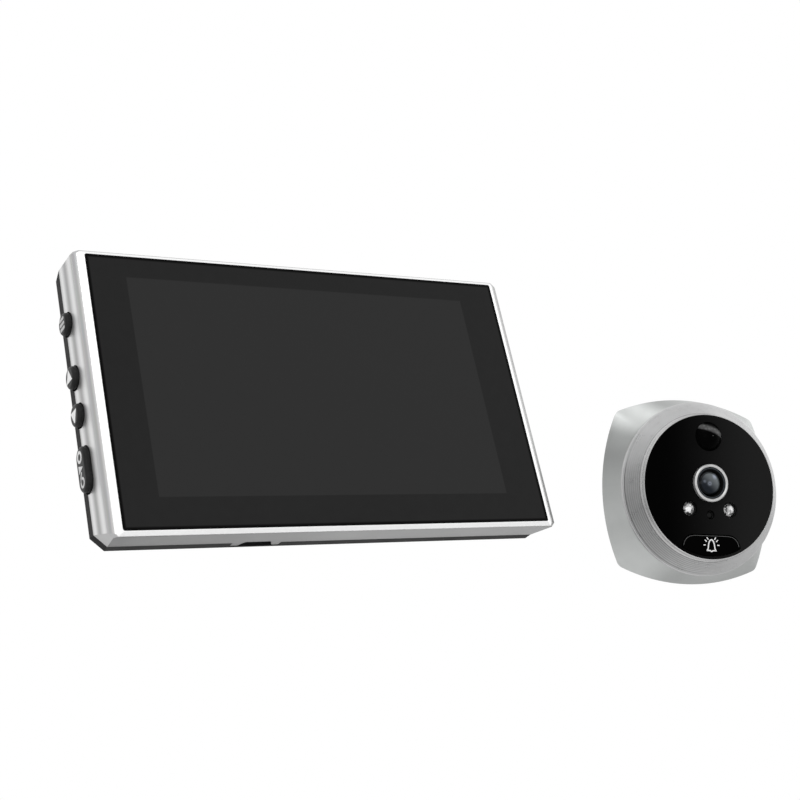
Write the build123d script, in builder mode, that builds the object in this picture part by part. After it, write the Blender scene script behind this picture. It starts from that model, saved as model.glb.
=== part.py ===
from build123d import *
import os
from math import asin, cos, sin, sqrt

os.makedirs("parts", exist_ok=True)

# A door viewer in two halves, at real size in millimetres. The indoor monitor hangs on a steel
# bracket on the door, whose face is the plane y = 0. The viewer stands on the -Y side, +Y goes into
# the door and +Z is up. The outdoor camera unit stands to the right of the monitor. "Depth" means
# the distance behind the front face, of the monitor's glass or of the camera unit's disc.

# Monitor, outside
wall_gap = 0.4
monitor_thickness = 13.4
glass_width = 131.84
glass_height = 78.83
glass_thickness = 1.1
glass_corner_cut_width = 0.4
glass_gap = 0.08
rim_land_width = 0.3
rim_side_width = 2.13
rim_top_width = 1.34
rim_depth = 0.8
rim_corner_cut_width = 0.9
rim_wall_thickness = 0.5
rim_ledge_thickness = 0.8
rim_ledge_width = 1.0
band_shoulder_depth = 1.8
band_shoulder_side_width = 3.46
band_shoulder_top_width = 1.3
band_shoulder_cut_width = 1.3
band_depth = 10.6
band_side_width = 3.8
band_bottom_width = 0.45
band_corner_cut_width = 3.2
band_top_width = 1.2
band_top_cut_width = 0.95
band_ledge_depth = 3.0
pocket_side_width = 1.5
pocket_corner_cut_width = 2.5
band_post_radius = 3.3
band_post_inset_x = 1.7
band_post_inset_z = 4.2
cover_side_width = 3.88
cover_bottom_width = 0.6
cover_corner_cut_width = 3.4
cover_top_width = 0.8
cover_top_cut_width = 2.4
cover_wall_thickness = 1.5
cover_lip_length = 104.0
cover_lip_height = 1.2
cover_lip_thickness = 1.0
cover_lip_gap = 0.1

# Display
panel_margin_width = 6.67
panel_margin_height = 2.915
panel_thickness = 1.2
backlight_thickness = 1.9
screen_shift_x = 0.85
screen_shift_z = 1.16
ribbon_width = 20.0
ribbon_thickness = 0.15
ribbon_foot_length = 4.0
ribbon_slope_length = 3.0
ribbon_start_gap = 3.335

# Door bracket and its hooks
bracket_width = 56.0
bracket_height_share = 0.558
bracket_thickness = 1.5
bracket_corner_radius = 4.0
bracket_bore_radius = 7.3
bracket_screw_radius = 1.7
bracket_screw_spacing = 32.0
hook_spacing = 40.0
hook_width = 8.0
hook_thickness = 1.2
hook_lip_height = 3.5
upper_hook_z = 11.0
lower_hook_z = -16.0
lift_travel = 4.2
bracket_gap = 0.4
slot_gap = 0.3
recess_wall_thickness = 1.2
window_radius = 12.8

# Boards and parts inside the monitor
board_battery_gap = 5.4
board_height = 60.0
board_thickness = 1.0
board_air_gap = 1.2
board_post_radius = 2.2
board_post_left_gap = 5.8
board_post_right_gap = 4.0
board_post_inset_z = 4.0
board_screw_radius = 0.8
board_screw_head_radius = 1.8
board_screw_head_height = 0.8
board_screw_length = 4.0
screw_gap = 0.05
cover_screw_radius = 1.0
cover_screw_head_radius = 1.9
cover_screw_head_height = 1.2
cover_screw_length = 5.0
cover_screw_well_gap = 0.1
drive_length = 2.2
drive_width = 0.5
drive_depth = 0.5
shield_width = 20.0
shield_height = 14.0
shield_thickness = 1.8
shield_left_gap = 19.82
shield_z = 14.0
socket_width = 11.0
socket_height = 4.6
socket_thickness = 3.0
socket_wall_thickness = 0.8
socket_z = 21.0
battery_left_gap = 2.1
battery_right_gap = 6.72
battery_height = 54.0
battery_thickness = 5.3
battery_corner_radius = 2.0
speaker_radius = 9.0
speaker_thickness = 3.8
speaker_cone_radius = 7.0
speaker_cone_depth = 0.8
speaker_z = -14.0
grille_hole_radius = 0.7
grille_inner_radius = 2.8
grille_outer_radius = 5.6
port_x = -24.4
port_width = 7.4
port_thickness = 2.5
port_length = 5.4
port_wall_thickness = 0.4
port_inset_depth = 0.3
port_tongue_width = 4.4
port_tongue_thickness = 0.6
tongue_width = 14.4
tongue_thickness = 0.7
tongue_length = 2.1
tongue_gap = 0.1
recess_start_depth = 9.7
recess_start_width = 7.5
recess_end_depth = 12.7
recess_end_width = 10.3

# Side buttons
button_depth = 9.3
button_radius = 3.17
button_rise_length = 1.5
button_edge_radius = 0.9
button_gap = 0.3
button_travel = 0.35
menu_height_share = 0.571
up_height_share = 0.17
down_height_share = -0.104
function_height_share = -0.49
function_length = 12.6
ear_gap = 0.3
ear_thickness = 1.0
ear_overhang_length = 0.9
ear_depth = 4.9
button_neck_width = 4.2
strip_thickness = 1.0
strip_depth = 6.6
strip_front_depth = 5.0
strip_end_gap = 3.915
switch_size = 4.4
switch_height = 2.4
switch_plunger_radius = 1.2
switch_plunger_gap = 0.05
switch_plunger_rise_length = 0.9
switch_plunger_sunk_depth = 0.6
switch_stroke_gap = 0.7

# Camera unit, outside
unit_x = 143.3
unit_y = -4.57
unit_z = -25.46
unit_yaw = -13.53
unit_tip = 15.26
unit_roll = 7.9
disc_radius = 23.92
disc_thickness = 1.2
bezel_gap = 0.05
bezel_top_width = 0.28
bezel_step_width = 0.53
bezel_step_depth = 0.8
bezel_line_width = 0.15
bezel_width = 0.88
bezel_depth = 1.9
ring_bore_gap = 0.08
ring_land_width = 0.95
ring_cone_width = 3.35
ring_cone_depth = 5.6
ring_line_width = 0.3
ring_line_depth = 6.0
ring_lip_width = 0.77
ring_depth = 6.95
ring_spigot_width = 1.3
ring_spigot_length = 1.25
ring_steps = 14
body_step_width = 0.27
body_depth = 16.0
flare_corner_width = 7.83
flare_side_width = 2.6
body_wall_thickness = 2.2
spigot_gap = 0.15
shelf_width = 5.45
shelf_thickness = 1.6
corner_end_share = 0.95
diagonal_share = sqrt(0.5)
flare_shares = [0.0, 0.3, 0.6, 0.82, 1.0]
corner_power = 1.7
bulge_power = 1.2
plate_thickness = 1.5
plate_gap = 0.1
plate_post_radius = 2.8
plate_post_gap = 2.4
plate_screw_radius = 1.0
plate_screw_head_radius = 2.0
plate_screw_head_height = 0.9
plate_screw_length = 3.4
gasket_thickness = 0.8
gasket_inset_width = 0.5
tube_radius = 7.0
tube_shoulder_width = 0.7
tube_bore_radius = 5.0
tube_length = 28.0
tube_flange_radius = 10.5
tube_flange_thickness = 1.2
tube_gap = 0.05
gasket_bore_gap = 0.3

# Camera unit, front parts
carrier_gap = 0.1
carrier_thickness = 2.0
carrier_skirt_thickness = 1.4
unit_board_depth = 9.2
unit_board_thickness = 1.2
unit_board_gap = 0.25
front_gap = 0.1
lens_z = 1.1
lens_ring_outer_radius = 6.23
lens_ring_wall_thickness = 0.92
lens_ring_rise_height = 1.5
lens_ring_edge_width = 0.35
lens_ring_flange_width = 0.67
lens_ring_flange_thickness = 0.6
barrel_gap = 0.06
barrel_rise_height = 1.0
barrel_lip_width = 0.5
barrel_throat_radius = 4.5
barrel_throat_depth = 0.2
barrel_bore_radius = 2.2
dome_lens_radius = 4.3
dome_lens_rise_height = 0.95
dome_lens_edge_depth = 0.4
dome_lens_back_depth = 2.0
rear_lens_radius = 2.75
rear_lens_depth = 4.4
rear_lens_thickness = 1.4
glass_seat_gap = 0.03
holder_tube_front_depth = 3.4
holder_size = 11.6
holder_depth = 6.4
holder_wall_thickness = 1.6
holder_bore_radius = 3.0
sensor_size = 6.0
sensor_thickness = 0.8
pir_place_share = 0.698
pir_dome_share = 0.1986
pir_dome_rise_height = 2.9
pir_dome_wall_thickness = 0.8
pir_flange_width = 0.65
pir_flange_thickness = 0.8
pir_sensor_gap = 0.65
pir_sensor_height = 4.5
pir_sensor_rim_width = 0.4
pir_sensor_rim_height = 0.6
pir_window_width = 4.0
pir_window_height = 3.0
pir_window_depth = 0.3
led_x = 7.48
led_z = -7.5
led_radius = 2.45
led_tip_depth = 0.2
led_flange_radius = 2.85
led_flange_thickness = 1.0
light_sensor_z = -9.35
light_sensor_radius = 1.4
light_sensor_tip_depth = 0.6
light_sensor_flange_radius = 1.75
light_sensor_flange_thickness = 0.8
bell_height = 6.67
bell_top_half_width = 6.4
bell_half_width = 10.6
bell_shoulder_width = 1.4
bell_shoulder_height = 1.05
bell_edge_width = 1.15
bell_gap = 0.3
bell_cap_depth = 2.0
bell_tab_width = 10.0
bell_tab_height = 2.6
bell_tab_rise_height = 1.3
bell_tab_gap = 0.35
bell_tab_thickness = 0.8
bell_stem_radius = 2.2
bell_stem_drop_height = 2.3
bell_switch_size = 6.0
bell_switch_height = 3.5
bell_plunger_radius = 1.6
bell_plunger_rise_length = 1.1
bell_plunger_sunk_depth = 0.7
bell_stroke_gap = 0.85
bell_window_gap = 0.4
unit_socket_width = 8.0
unit_socket_height = 4.0
unit_socket_room_share = 0.585
unit_socket_z = 13.2
unit_socket_wall_thickness = 0.7

# Cuts run this far past the face they open.
overrun_length = 0.5

# Places that follow from the sizes
monitor_front = wall_gap + monitor_thickness
half_glass_x = glass_width / 2
half_glass_z = glass_height / 2
pocket_half_x = half_glass_x + pocket_side_width
pocket_half_z = half_glass_z - rim_ledge_width
ledge_bottom = glass_thickness + rim_ledge_thickness
cover_floor = monitor_thickness - cover_wall_thickness
display_back = glass_thickness + panel_thickness + backlight_thickness
board_front = display_back + board_air_gap
board_back = board_front + board_thickness
post_x = half_glass_x - band_post_inset_x
post_z = half_glass_z - band_post_inset_z
cover_screw_spots = [(-post_x, post_z), (post_x, post_z), (-post_x, -post_z), (post_x, -post_z)]
strip_x = pocket_half_x - ear_gap - ear_thickness - switch_plunger_rise_length - switch_height
strip_half_length = post_z - band_post_radius - strip_end_gap
bracket_height = glass_height * bracket_height_share
menu_z = half_glass_z * menu_height_share
up_z = half_glass_z * up_height_share
down_z = half_glass_z * down_height_share
function_z = half_glass_z * function_height_share
recess_half_x = bracket_width / 2 + bracket_gap
recess_outer_x = recess_half_x + recess_wall_thickness
panel_width = glass_width - panel_margin_width - panel_margin_width
panel_height = glass_height - panel_margin_height - panel_margin_height
ribbon_start_z = panel_height / 2 - screen_shift_z - ribbon_start_gap
board_left = -strip_x + strip_thickness
board_right = recess_outer_x - board_battery_gap
board_width = board_right - board_left
board_x = (board_left + board_right) / 2
battery_left = recess_outer_x + battery_left_gap
battery_right = pocket_half_x - battery_right_gap
battery_width = battery_right - battery_left
battery_x = (battery_left + battery_right) / 2
speaker_x = -(recess_outer_x + strip_x) / 2
shield_x = board_left + shield_left_gap + shield_width / 2
board_post_left = board_left + board_post_left_gap
board_post_right = board_right - board_post_right_gap
board_post_z = board_height / 2 - board_post_inset_z
board_spots = [
    (board_post_left, board_post_z),
    (board_post_right, board_post_z),
    (board_post_left, -board_post_z),
    (board_post_right, -board_post_z),
]
recess_top_z = bracket_height / 2 + bracket_gap
recess_bottom_z = bracket_height / 2 + bracket_gap + lift_travel
recess_height = recess_top_z + recess_bottom_z
recess_mid_z = (recess_top_z - recess_bottom_z) / 2
ceiling_depth = cover_floor - cover_wall_thickness
hook_reach = bracket_gap + cover_wall_thickness + slot_gap + hook_thickness
hook_spots = [(-hook_spacing / 2, upper_hook_z), (hook_spacing / 2, upper_hook_z)]
hook_spots += [(-hook_spacing / 2, lower_hook_z), (hook_spacing / 2, lower_hook_z)]
button_y = button_depth - monitor_front
button_face_x = half_glass_x + band_side_width + button_rise_length
button_root_x = pocket_half_x + ear_gap
ear_front_x = pocket_half_x - ear_gap
ear_back_x = ear_front_x - ear_thickness
button_gap_end_x = ear_front_x - button_travel
plunger_end_x = strip_x + switch_height - switch_plunger_sunk_depth


# Radii and places on the camera unit that follow from its disc.
bezel_inner_radius = disc_radius + bezel_gap
bezel_top_radius = bezel_inner_radius + bezel_top_width
bezel_step_radius = bezel_inner_radius + bezel_step_width
bezel_radius = bezel_inner_radius + bezel_width
ring_bore_radius = disc_radius + ring_bore_gap
ring_top_radius = ring_bore_radius + ring_land_width
ring_bottom_radius = ring_top_radius + ring_cone_width
ring_line_radius = ring_bottom_radius - ring_line_width
ring_lip_radius = ring_bottom_radius + ring_lip_width
ring_spigot_radius = ring_bore_radius + ring_spigot_width
body_radius = ring_lip_radius - body_step_width
body_corner = body_radius + flare_corner_width
body_bulge = body_radius + flare_side_width
body_cavity_radius = ring_spigot_radius + spigot_gap
shelf_radius = body_cavity_radius - shelf_width
lens_ring_inner_radius = lens_ring_outer_radius - lens_ring_wall_thickness
lens_ring_flange_radius = lens_ring_outer_radius + lens_ring_flange_width
pir_z = disc_radius * pir_place_share
pir_dome_radius = disc_radius * pir_dome_share
pir_flange_radius = pir_dome_radius + pir_flange_width
pir_sensor_radius = pir_dome_radius - pir_sensor_gap
bell_bottom_radius = disc_radius - bell_edge_width
bell_top_z = bell_height - bell_bottom_radius
bell_side_z = -sqrt(bell_bottom_radius**2 - bell_half_width**2)
bell_shoulder_x = bell_half_width - bell_shoulder_width
bell_shoulder_z = bell_top_z - bell_shoulder_height
bell_stem_z = bell_top_z - bell_stem_drop_height


def monitor_depth(depth):
    """Plane at this depth behind the monitor's front, facing the viewer."""
    return Plane.XZ.offset(monitor_front - depth)


def side_at(distance):
    """Plane facing left, with its first axis up and its second one into the door."""
    return Plane(origin=(-distance, button_y, 0), x_dir=(0, 0, 1), z_dir=(-1, 0, 0))


def octagon(side, bottom, cut, top=None, top_cut=None):
    """Corner points of a rectangle this much larger than the glass, its corners cut at 45 degrees.

    The upper edge has its own width and cuts where they are given.
    """
    top = bottom if top is None else top
    top_cut = cut if top_cut is None else top_cut
    half_x = half_glass_x + side
    high_z = half_glass_z + top
    low_z = half_glass_z + bottom
    high_x = half_x - top_cut
    low_x = half_x - cut
    upper = [(half_x, high_z - top_cut), (high_x, high_z), (-high_x, high_z), (-half_x, high_z - top_cut)]
    lower = [(-half_x, cut - low_z), (-low_x, -low_z), (low_x, -low_z), (half_x, cut - low_z)]
    return upper + lower


# Monitor shell
# The flush cover glass.
with BuildPart() as front_glass:
    with BuildSketch(monitor_depth(0)):
        Polygon(*octagon(0, 0, glass_corner_cut_width), align=None)
    extrude(amount=-glass_thickness)
front_glass.part.label = "front_glass"
export_step(front_glass.part, "parts/front_glass.step")

# The bright rim slopes back from the glass and carries it on a ledge.
with BuildPart() as front_rim:
    with BuildSketch(monitor_depth(0)):
        Polygon(*octagon(rim_land_width, rim_land_width, glass_corner_cut_width), align=None)
    with BuildSketch(monitor_depth(rim_depth)):
        Polygon(*octagon(rim_side_width, rim_top_width, rim_corner_cut_width), align=None)
    loft(ruled=True)
    with BuildSketch(monitor_depth(rim_depth)):
        Polygon(*octagon(rim_wall_thickness, rim_wall_thickness, glass_corner_cut_width), align=None)
    extrude(amount=-(ledge_bottom - rim_depth))
    with BuildSketch(monitor_depth(0)):
        Polygon(*octagon(glass_gap, glass_gap, glass_corner_cut_width), align=None)
    extrude(amount=-glass_thickness, mode=Mode.SUBTRACT)
    with BuildSketch(monitor_depth(0)):
        Rectangle(glass_width - rim_ledge_width - rim_ledge_width, pocket_half_z + pocket_half_z)
    extrude(amount=-(ledge_bottom + overrun_length), mode=Mode.SUBTRACT)
front_rim.part.label = "front_rim"
export_step(front_rim.part, "parts/front_rim.step")

shoulder_points = octagon(
    band_shoulder_side_width,
    band_shoulder_top_width,
    band_shoulder_cut_width,
    band_shoulder_top_width,
    band_top_cut_width,
)
band_back_points = octagon(
    band_side_width,
    band_bottom_width,
    band_corner_cut_width,
    band_top_width,
    band_top_cut_width,
)
cover_back_points = octagon(
    cover_side_width,
    cover_bottom_width,
    cover_corner_cut_width,
    cover_top_width,
    cover_top_cut_width,
)
# The side band swells out at the sides, draws in at the bottom and has faceted lower corners.
with BuildPart() as side_band:
    with BuildSketch(monitor_depth(rim_depth)):
        Polygon(*octagon(rim_side_width, rim_top_width, rim_corner_cut_width), align=None)
    with BuildSketch(monitor_depth(band_shoulder_depth)):
        Polygon(*shoulder_points, align=None)
    with BuildSketch(monitor_depth(band_depth)):
        Polygon(*band_back_points, align=None)
    loft(ruled=True)
    with BuildSketch(monitor_depth(rim_depth)):
        Polygon(*octagon(rim_wall_thickness, rim_wall_thickness, glass_corner_cut_width), align=None)
    extrude(amount=-(ledge_bottom - rim_depth), mode=Mode.SUBTRACT)
    with BuildSketch(monitor_depth(rim_depth)):
        Rectangle(glass_width - rim_ledge_width - rim_ledge_width, pocket_half_z + pocket_half_z)
    extrude(amount=-(band_ledge_depth - rim_depth), mode=Mode.SUBTRACT)
    with BuildSketch(monitor_depth(band_ledge_depth)):
        Polygon(*octagon(pocket_side_width, -rim_ledge_width, pocket_corner_cut_width), align=None)
    extrude(amount=-(band_depth - band_ledge_depth + overrun_length), mode=Mode.SUBTRACT)
    # Corner posts take the screws of the back cover.
    with BuildSketch(monitor_depth(band_ledge_depth)):
        with Locations(*cover_screw_spots):
            Circle(band_post_radius)
        Polygon(
            *octagon(pocket_side_width, -rim_ledge_width, pocket_corner_cut_width),
            align=None,
            mode=Mode.INTERSECT,
        )
    extrude(amount=-(band_depth - band_ledge_depth))
    with BuildSketch(monitor_depth(monitor_thickness - cover_screw_head_height - cover_screw_length)):
        with Locations(*cover_screw_spots):
            Circle(cover_screw_radius + screw_gap)
    extrude(amount=-(cover_screw_length + overrun_length), mode=Mode.SUBTRACT)
    # Holes for the side buttons.
    with BuildSketch(side_at(button_gap_end_x)):
        with Locations((menu_z, 0), (up_z, 0), (down_z, 0)):
            Circle(button_radius + button_gap)
        with Locations((function_z, 0)):
            SlotOverall(function_length + button_gap + button_gap, 2 * (button_radius + button_gap))
    extrude(amount=button_face_x - button_gap_end_x, mode=Mode.SUBTRACT)
    # A tongue round the charging port reaches back into the cover.
    with BuildSketch(monitor_depth(band_depth)):
        with Locations((port_x, tongue_thickness / 2 - half_glass_z - band_bottom_width)):
            Rectangle(tongue_width, tongue_thickness)
    extrude(amount=-tongue_length)
    # Trapezoid recess of the charging port.
    with BuildSketch(Plane.XY.offset(-half_glass_z - rim_top_width)):
        with BuildLine():
            Polyline(
                (port_x - recess_start_width / 2, recess_start_depth - monitor_front),
                (port_x + recess_start_width / 2, recess_start_depth - monitor_front),
                (port_x + recess_end_width / 2, recess_end_depth - monitor_front),
                (port_x - recess_end_width / 2, recess_end_depth - monitor_front),
                close=True,
            )
        make_face()
    extrude(amount=half_glass_z + rim_top_width - pocket_half_z + overrun_length, mode=Mode.SUBTRACT)
side_band.part.label = "side_band"
export_step(side_band.part, "parts/side_band.step")

# The back cover: a shallow dish with a recess for the door bracket and its four hook slots.
with BuildPart() as back_cover:
    with BuildSketch(monitor_depth(band_depth)):
        Polygon(*band_back_points, align=None)
    with BuildSketch(monitor_depth(monitor_thickness)):
        Polygon(*cover_back_points, align=None)
    loft(ruled=True)
    with BuildSketch(monitor_depth(band_depth)):
        Polygon(*octagon(pocket_side_width, -rim_ledge_width, pocket_corner_cut_width), align=None)
        with Locations(*cover_screw_spots):
            Circle(band_post_radius, mode=Mode.SUBTRACT)
    extrude(amount=-(cover_floor - band_depth), mode=Mode.SUBTRACT)
    # Two lips reach into the band along the top and the bottom.
    with BuildSketch(monitor_depth(band_depth - cover_lip_height)):
        lip_z = pocket_half_z - cover_lip_gap - cover_lip_thickness / 2
        with Locations((0, lip_z), (0, -lip_z)):
            Rectangle(cover_lip_length, cover_lip_thickness)
    extrude(amount=-(cover_floor - band_depth + cover_lip_height))
    # Raised box over the bracket recess.
    with BuildSketch(monitor_depth(ceiling_depth)):
        with Locations((0, recess_mid_z)):
            Rectangle(2 * recess_outer_x, recess_height + 2 * recess_wall_thickness)
    extrude(amount=-(cover_floor - ceiling_depth + overrun_length))
    # Posts of the main board.
    with BuildSketch(monitor_depth(board_back)):
        with Locations(*board_spots):
            Circle(board_post_radius)
    extrude(amount=-(cover_floor - board_back))
    with BuildSketch(monitor_depth(board_back)):
        with Locations(*board_spots):
            Circle(board_screw_radius + screw_gap)
    extrude(amount=-board_screw_length, mode=Mode.SUBTRACT)
    # The bracket recess, its slots and the window for the tube's end and its nut.
    with BuildSketch(monitor_depth(cover_floor)):
        with Locations((0, recess_mid_z)):
            Rectangle(recess_half_x + recess_half_x, recess_height)
    extrude(amount=-(cover_wall_thickness + overrun_length), mode=Mode.SUBTRACT)
    with BuildSketch(monitor_depth(ceiling_depth)):
        slot_top = hook_thickness + slot_gap
        slot_bottom = lift_travel + slot_gap
        for hook_x, hook_z in hook_spots:
            with Locations((hook_x, hook_z + (slot_top - slot_bottom) / 2)):
                Rectangle(hook_width + slot_gap + slot_gap, slot_top + slot_bottom)
        with Locations((0, -lift_travel / 2)):
            SlotOverall(2 * window_radius + lift_travel, 2 * window_radius, rotation=90)
    extrude(amount=-(cover_wall_thickness + overrun_length), mode=Mode.SUBTRACT)
    # Screw wells in the corners.
    with BuildSketch(monitor_depth(monitor_thickness)):
        with Locations(*cover_screw_spots):
            Circle(cover_screw_head_radius + cover_screw_well_gap)
    extrude(amount=cover_screw_head_height, mode=Mode.SUBTRACT)
    with BuildSketch(monitor_depth(monitor_thickness)):
        with Locations(*cover_screw_spots):
            Circle(cover_screw_radius + screw_gap)
    extrude(amount=monitor_thickness - band_depth + overrun_length, mode=Mode.SUBTRACT)
    # Speaker grille.
    with BuildSketch(monitor_depth(cover_floor - overrun_length)):
        with Locations((speaker_x, speaker_z)):
            Circle(grille_hole_radius)
            with PolarLocations(grille_inner_radius, 6):
                Circle(grille_hole_radius)
            with PolarLocations(grille_outer_radius, 12):
                Circle(grille_hole_radius)
    extrude(amount=-(cover_wall_thickness + overrun_length + overrun_length), mode=Mode.SUBTRACT)
    # Holes for the side buttons.
    with BuildSketch(side_at(button_gap_end_x)):
        with Locations((menu_z, 0), (up_z, 0), (down_z, 0)):
            Circle(button_radius + button_gap)
        with Locations((function_z, 0)):
            SlotOverall(function_length + button_gap + button_gap, 2 * (button_radius + button_gap))
    extrude(amount=button_face_x - button_gap_end_x, mode=Mode.SUBTRACT)
    # Notch for the band's tongue and the recess of the charging port.
    notch_top_z = tongue_thickness + tongue_gap - half_glass_z - band_bottom_width
    notch_bottom_z = -half_glass_z - rim_top_width
    with BuildSketch(monitor_depth(band_depth)):
        with Locations((port_x, (notch_top_z + notch_bottom_z) / 2)):
            Rectangle(tongue_width + tongue_gap + tongue_gap, notch_top_z - notch_bottom_z)
    extrude(amount=-(tongue_length + tongue_gap), mode=Mode.SUBTRACT)
    with BuildSketch(Plane.XY.offset(-half_glass_z - rim_top_width)):
        with BuildLine():
            Polyline(
                (port_x - recess_start_width / 2, recess_start_depth - monitor_front),
                (port_x + recess_start_width / 2, recess_start_depth - monitor_front),
                (port_x + recess_end_width / 2, recess_end_depth - monitor_front),
                (port_x - recess_end_width / 2, recess_end_depth - monitor_front),
                close=True,
            )
        make_face()
    extrude(amount=half_glass_z + rim_top_width - pocket_half_z + port_inset_depth, mode=Mode.SUBTRACT)
    with BuildSketch(monitor_depth(band_depth - cover_lip_height)):
        with Locations((port_x, -lip_z)):
            Rectangle(tongue_width, cover_lip_thickness + cover_lip_gap)
    extrude(amount=-(cover_floor - band_depth + cover_lip_height), mode=Mode.SUBTRACT)
back_cover.part.label = "back_cover"
export_step(back_cover.part, "parts/back_cover.step")

# Screws with crossed drive slots hold the back cover.
with BuildPart() as cover_screws:
    with BuildSketch(monitor_depth(monitor_thickness)):
        with Locations(*cover_screw_spots):
            Circle(cover_screw_head_radius)
    extrude(amount=cover_screw_head_height)
    with BuildSketch(monitor_depth(monitor_thickness)):
        with Locations(*cover_screw_spots):
            Circle(cover_screw_radius)
    extrude(amount=cover_screw_head_height + cover_screw_length)
    with BuildSketch(monitor_depth(monitor_thickness)):
        with Locations(*cover_screw_spots):
            Rectangle(drive_length, drive_width)
            Rectangle(drive_width, drive_length)
    extrude(amount=drive_depth, mode=Mode.SUBTRACT)
cover_screws.part.label = "cover_screws"
export_step(cover_screws.part, "parts/cover_screws.step")

# Display
screen_spot = (-screen_shift_x, screen_shift_z)
with BuildPart() as lcd_panel:
    with BuildSketch(monitor_depth(glass_thickness)):
        with Locations(screen_spot):
            Rectangle(panel_width, panel_height)
    extrude(amount=-panel_thickness)
lcd_panel.part.label = "lcd_panel"
export_step(lcd_panel.part, "parts/lcd_panel.step")

with BuildPart() as backlight:
    with BuildSketch(monitor_depth(glass_thickness + panel_thickness)):
        with Locations(screen_spot):
            Rectangle(panel_width, panel_height)
    extrude(amount=-backlight_thickness)
backlight.part.label = "backlight"
export_step(backlight.part, "parts/backlight.step")

# The flat cable steps from the back of the display to the front of the main board.
ribbon_y = display_back - monitor_front
ribbon_slope_z = ribbon_start_z - ribbon_foot_length
ribbon_upper_z = ribbon_slope_z - ribbon_slope_length
ribbon_end_z = ribbon_upper_z - ribbon_foot_length
with BuildPart() as display_ribbon:
    with BuildSketch(Plane.YZ.offset(board_x - ribbon_width / 2)):
        with BuildLine():
            Polyline(
                (ribbon_y, -ribbon_start_z),
                (ribbon_y + ribbon_thickness, -ribbon_start_z),
                (ribbon_y + ribbon_thickness, -ribbon_slope_z),
                (ribbon_y + board_air_gap, -ribbon_upper_z),
                (ribbon_y + board_air_gap, -ribbon_end_z),
                (ribbon_y + board_air_gap - ribbon_thickness, -ribbon_end_z),
                (ribbon_y + board_air_gap - ribbon_thickness, -ribbon_upper_z),
                (ribbon_y, -ribbon_slope_z),
                close=True,
            )
        make_face()
    extrude(amount=ribbon_width)
display_ribbon.part.label = "display_ribbon"
export_step(display_ribbon.part, "parts/display_ribbon.step")

# Boards and parts inside the monitor
with BuildPart() as main_board:
    with BuildSketch(monitor_depth(board_front)):
        with Locations((board_x, 0)):
            Rectangle(board_width, board_height)
        with Locations(*board_spots):
            Circle(board_screw_radius + screw_gap, mode=Mode.SUBTRACT)
    extrude(amount=-board_thickness)
main_board.part.label = "main_board"
export_step(main_board.part, "parts/main_board.step")

with BuildPart() as board_screws:
    with BuildSketch(monitor_depth(board_front)):
        with Locations(*board_spots):
            Circle(board_screw_head_radius)
    extrude(amount=board_screw_head_height)
    with BuildSketch(monitor_depth(board_front)):
        with Locations(*board_spots):
            Circle(board_screw_radius)
    extrude(amount=-board_screw_length)
    with BuildSketch(monitor_depth(board_front - board_screw_head_height)):
        with Locations(*board_spots):
            Rectangle(drive_length, drive_width)
            Rectangle(drive_width, drive_length)
    extrude(amount=-drive_depth, mode=Mode.SUBTRACT)
board_screws.part.label = "board_screws"
export_step(board_screws.part, "parts/board_screws.step")

# Pressed metal can over the processor.
with BuildPart() as processor_shield:
    with BuildSketch(monitor_depth(board_back)):
        with Locations((shield_x, shield_z)):
            RectangleRounded(shield_width, shield_height, drive_width)
    extrude(amount=-shield_thickness)
    with BuildSketch(monitor_depth(board_back)):
        with Locations((shield_x, shield_z)):
            Rectangle(shield_width - drive_width, shield_height - drive_width)
    extrude(amount=-(shield_thickness - drive_width), mode=Mode.SUBTRACT)
processor_shield.part.label = "processor_shield"
export_step(processor_shield.part, "parts/processor_shield.step")

# Socket for the plug of the camera's wire, open towards the bottom.
with BuildPart() as camera_socket:
    with BuildSketch(monitor_depth(board_back)):
        with Locations((0, socket_z)):
            Rectangle(socket_width, socket_height)
    extrude(amount=-socket_thickness)
    with BuildSketch(monitor_depth(board_back + socket_wall_thickness)):
        with Locations((0, socket_z - socket_wall_thickness)):
            Rectangle(socket_width - socket_wall_thickness - socket_wall_thickness, socket_height)
    extrude(amount=-(socket_thickness - socket_wall_thickness - socket_wall_thickness), mode=Mode.SUBTRACT)
camera_socket.part.label = "camera_socket"
export_step(camera_socket.part, "parts/camera_socket.step")

with BuildPart() as battery:
    with BuildSketch(monitor_depth(cover_floor)):
        with Locations((battery_x, 0)):
            Rectangle(battery_width, battery_height)
    extrude(amount=battery_thickness)
    fillet(battery.edges().filter_by(Axis.Z), battery_corner_radius)
battery.part.label = "battery"
export_step(battery.part, "parts/battery.step")

with BuildPart() as speaker:
    with BuildSketch(monitor_depth(cover_floor)):
        with Locations((speaker_x, speaker_z)):
            Circle(speaker_radius)
    extrude(amount=speaker_thickness)
    with BuildSketch(monitor_depth(cover_floor)):
        with Locations((speaker_x, speaker_z)):
            Circle(speaker_cone_radius)
    extrude(amount=speaker_cone_depth, mode=Mode.SUBTRACT)
speaker.part.label = "speaker"
export_step(speaker.part, "parts/speaker.step")

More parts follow.
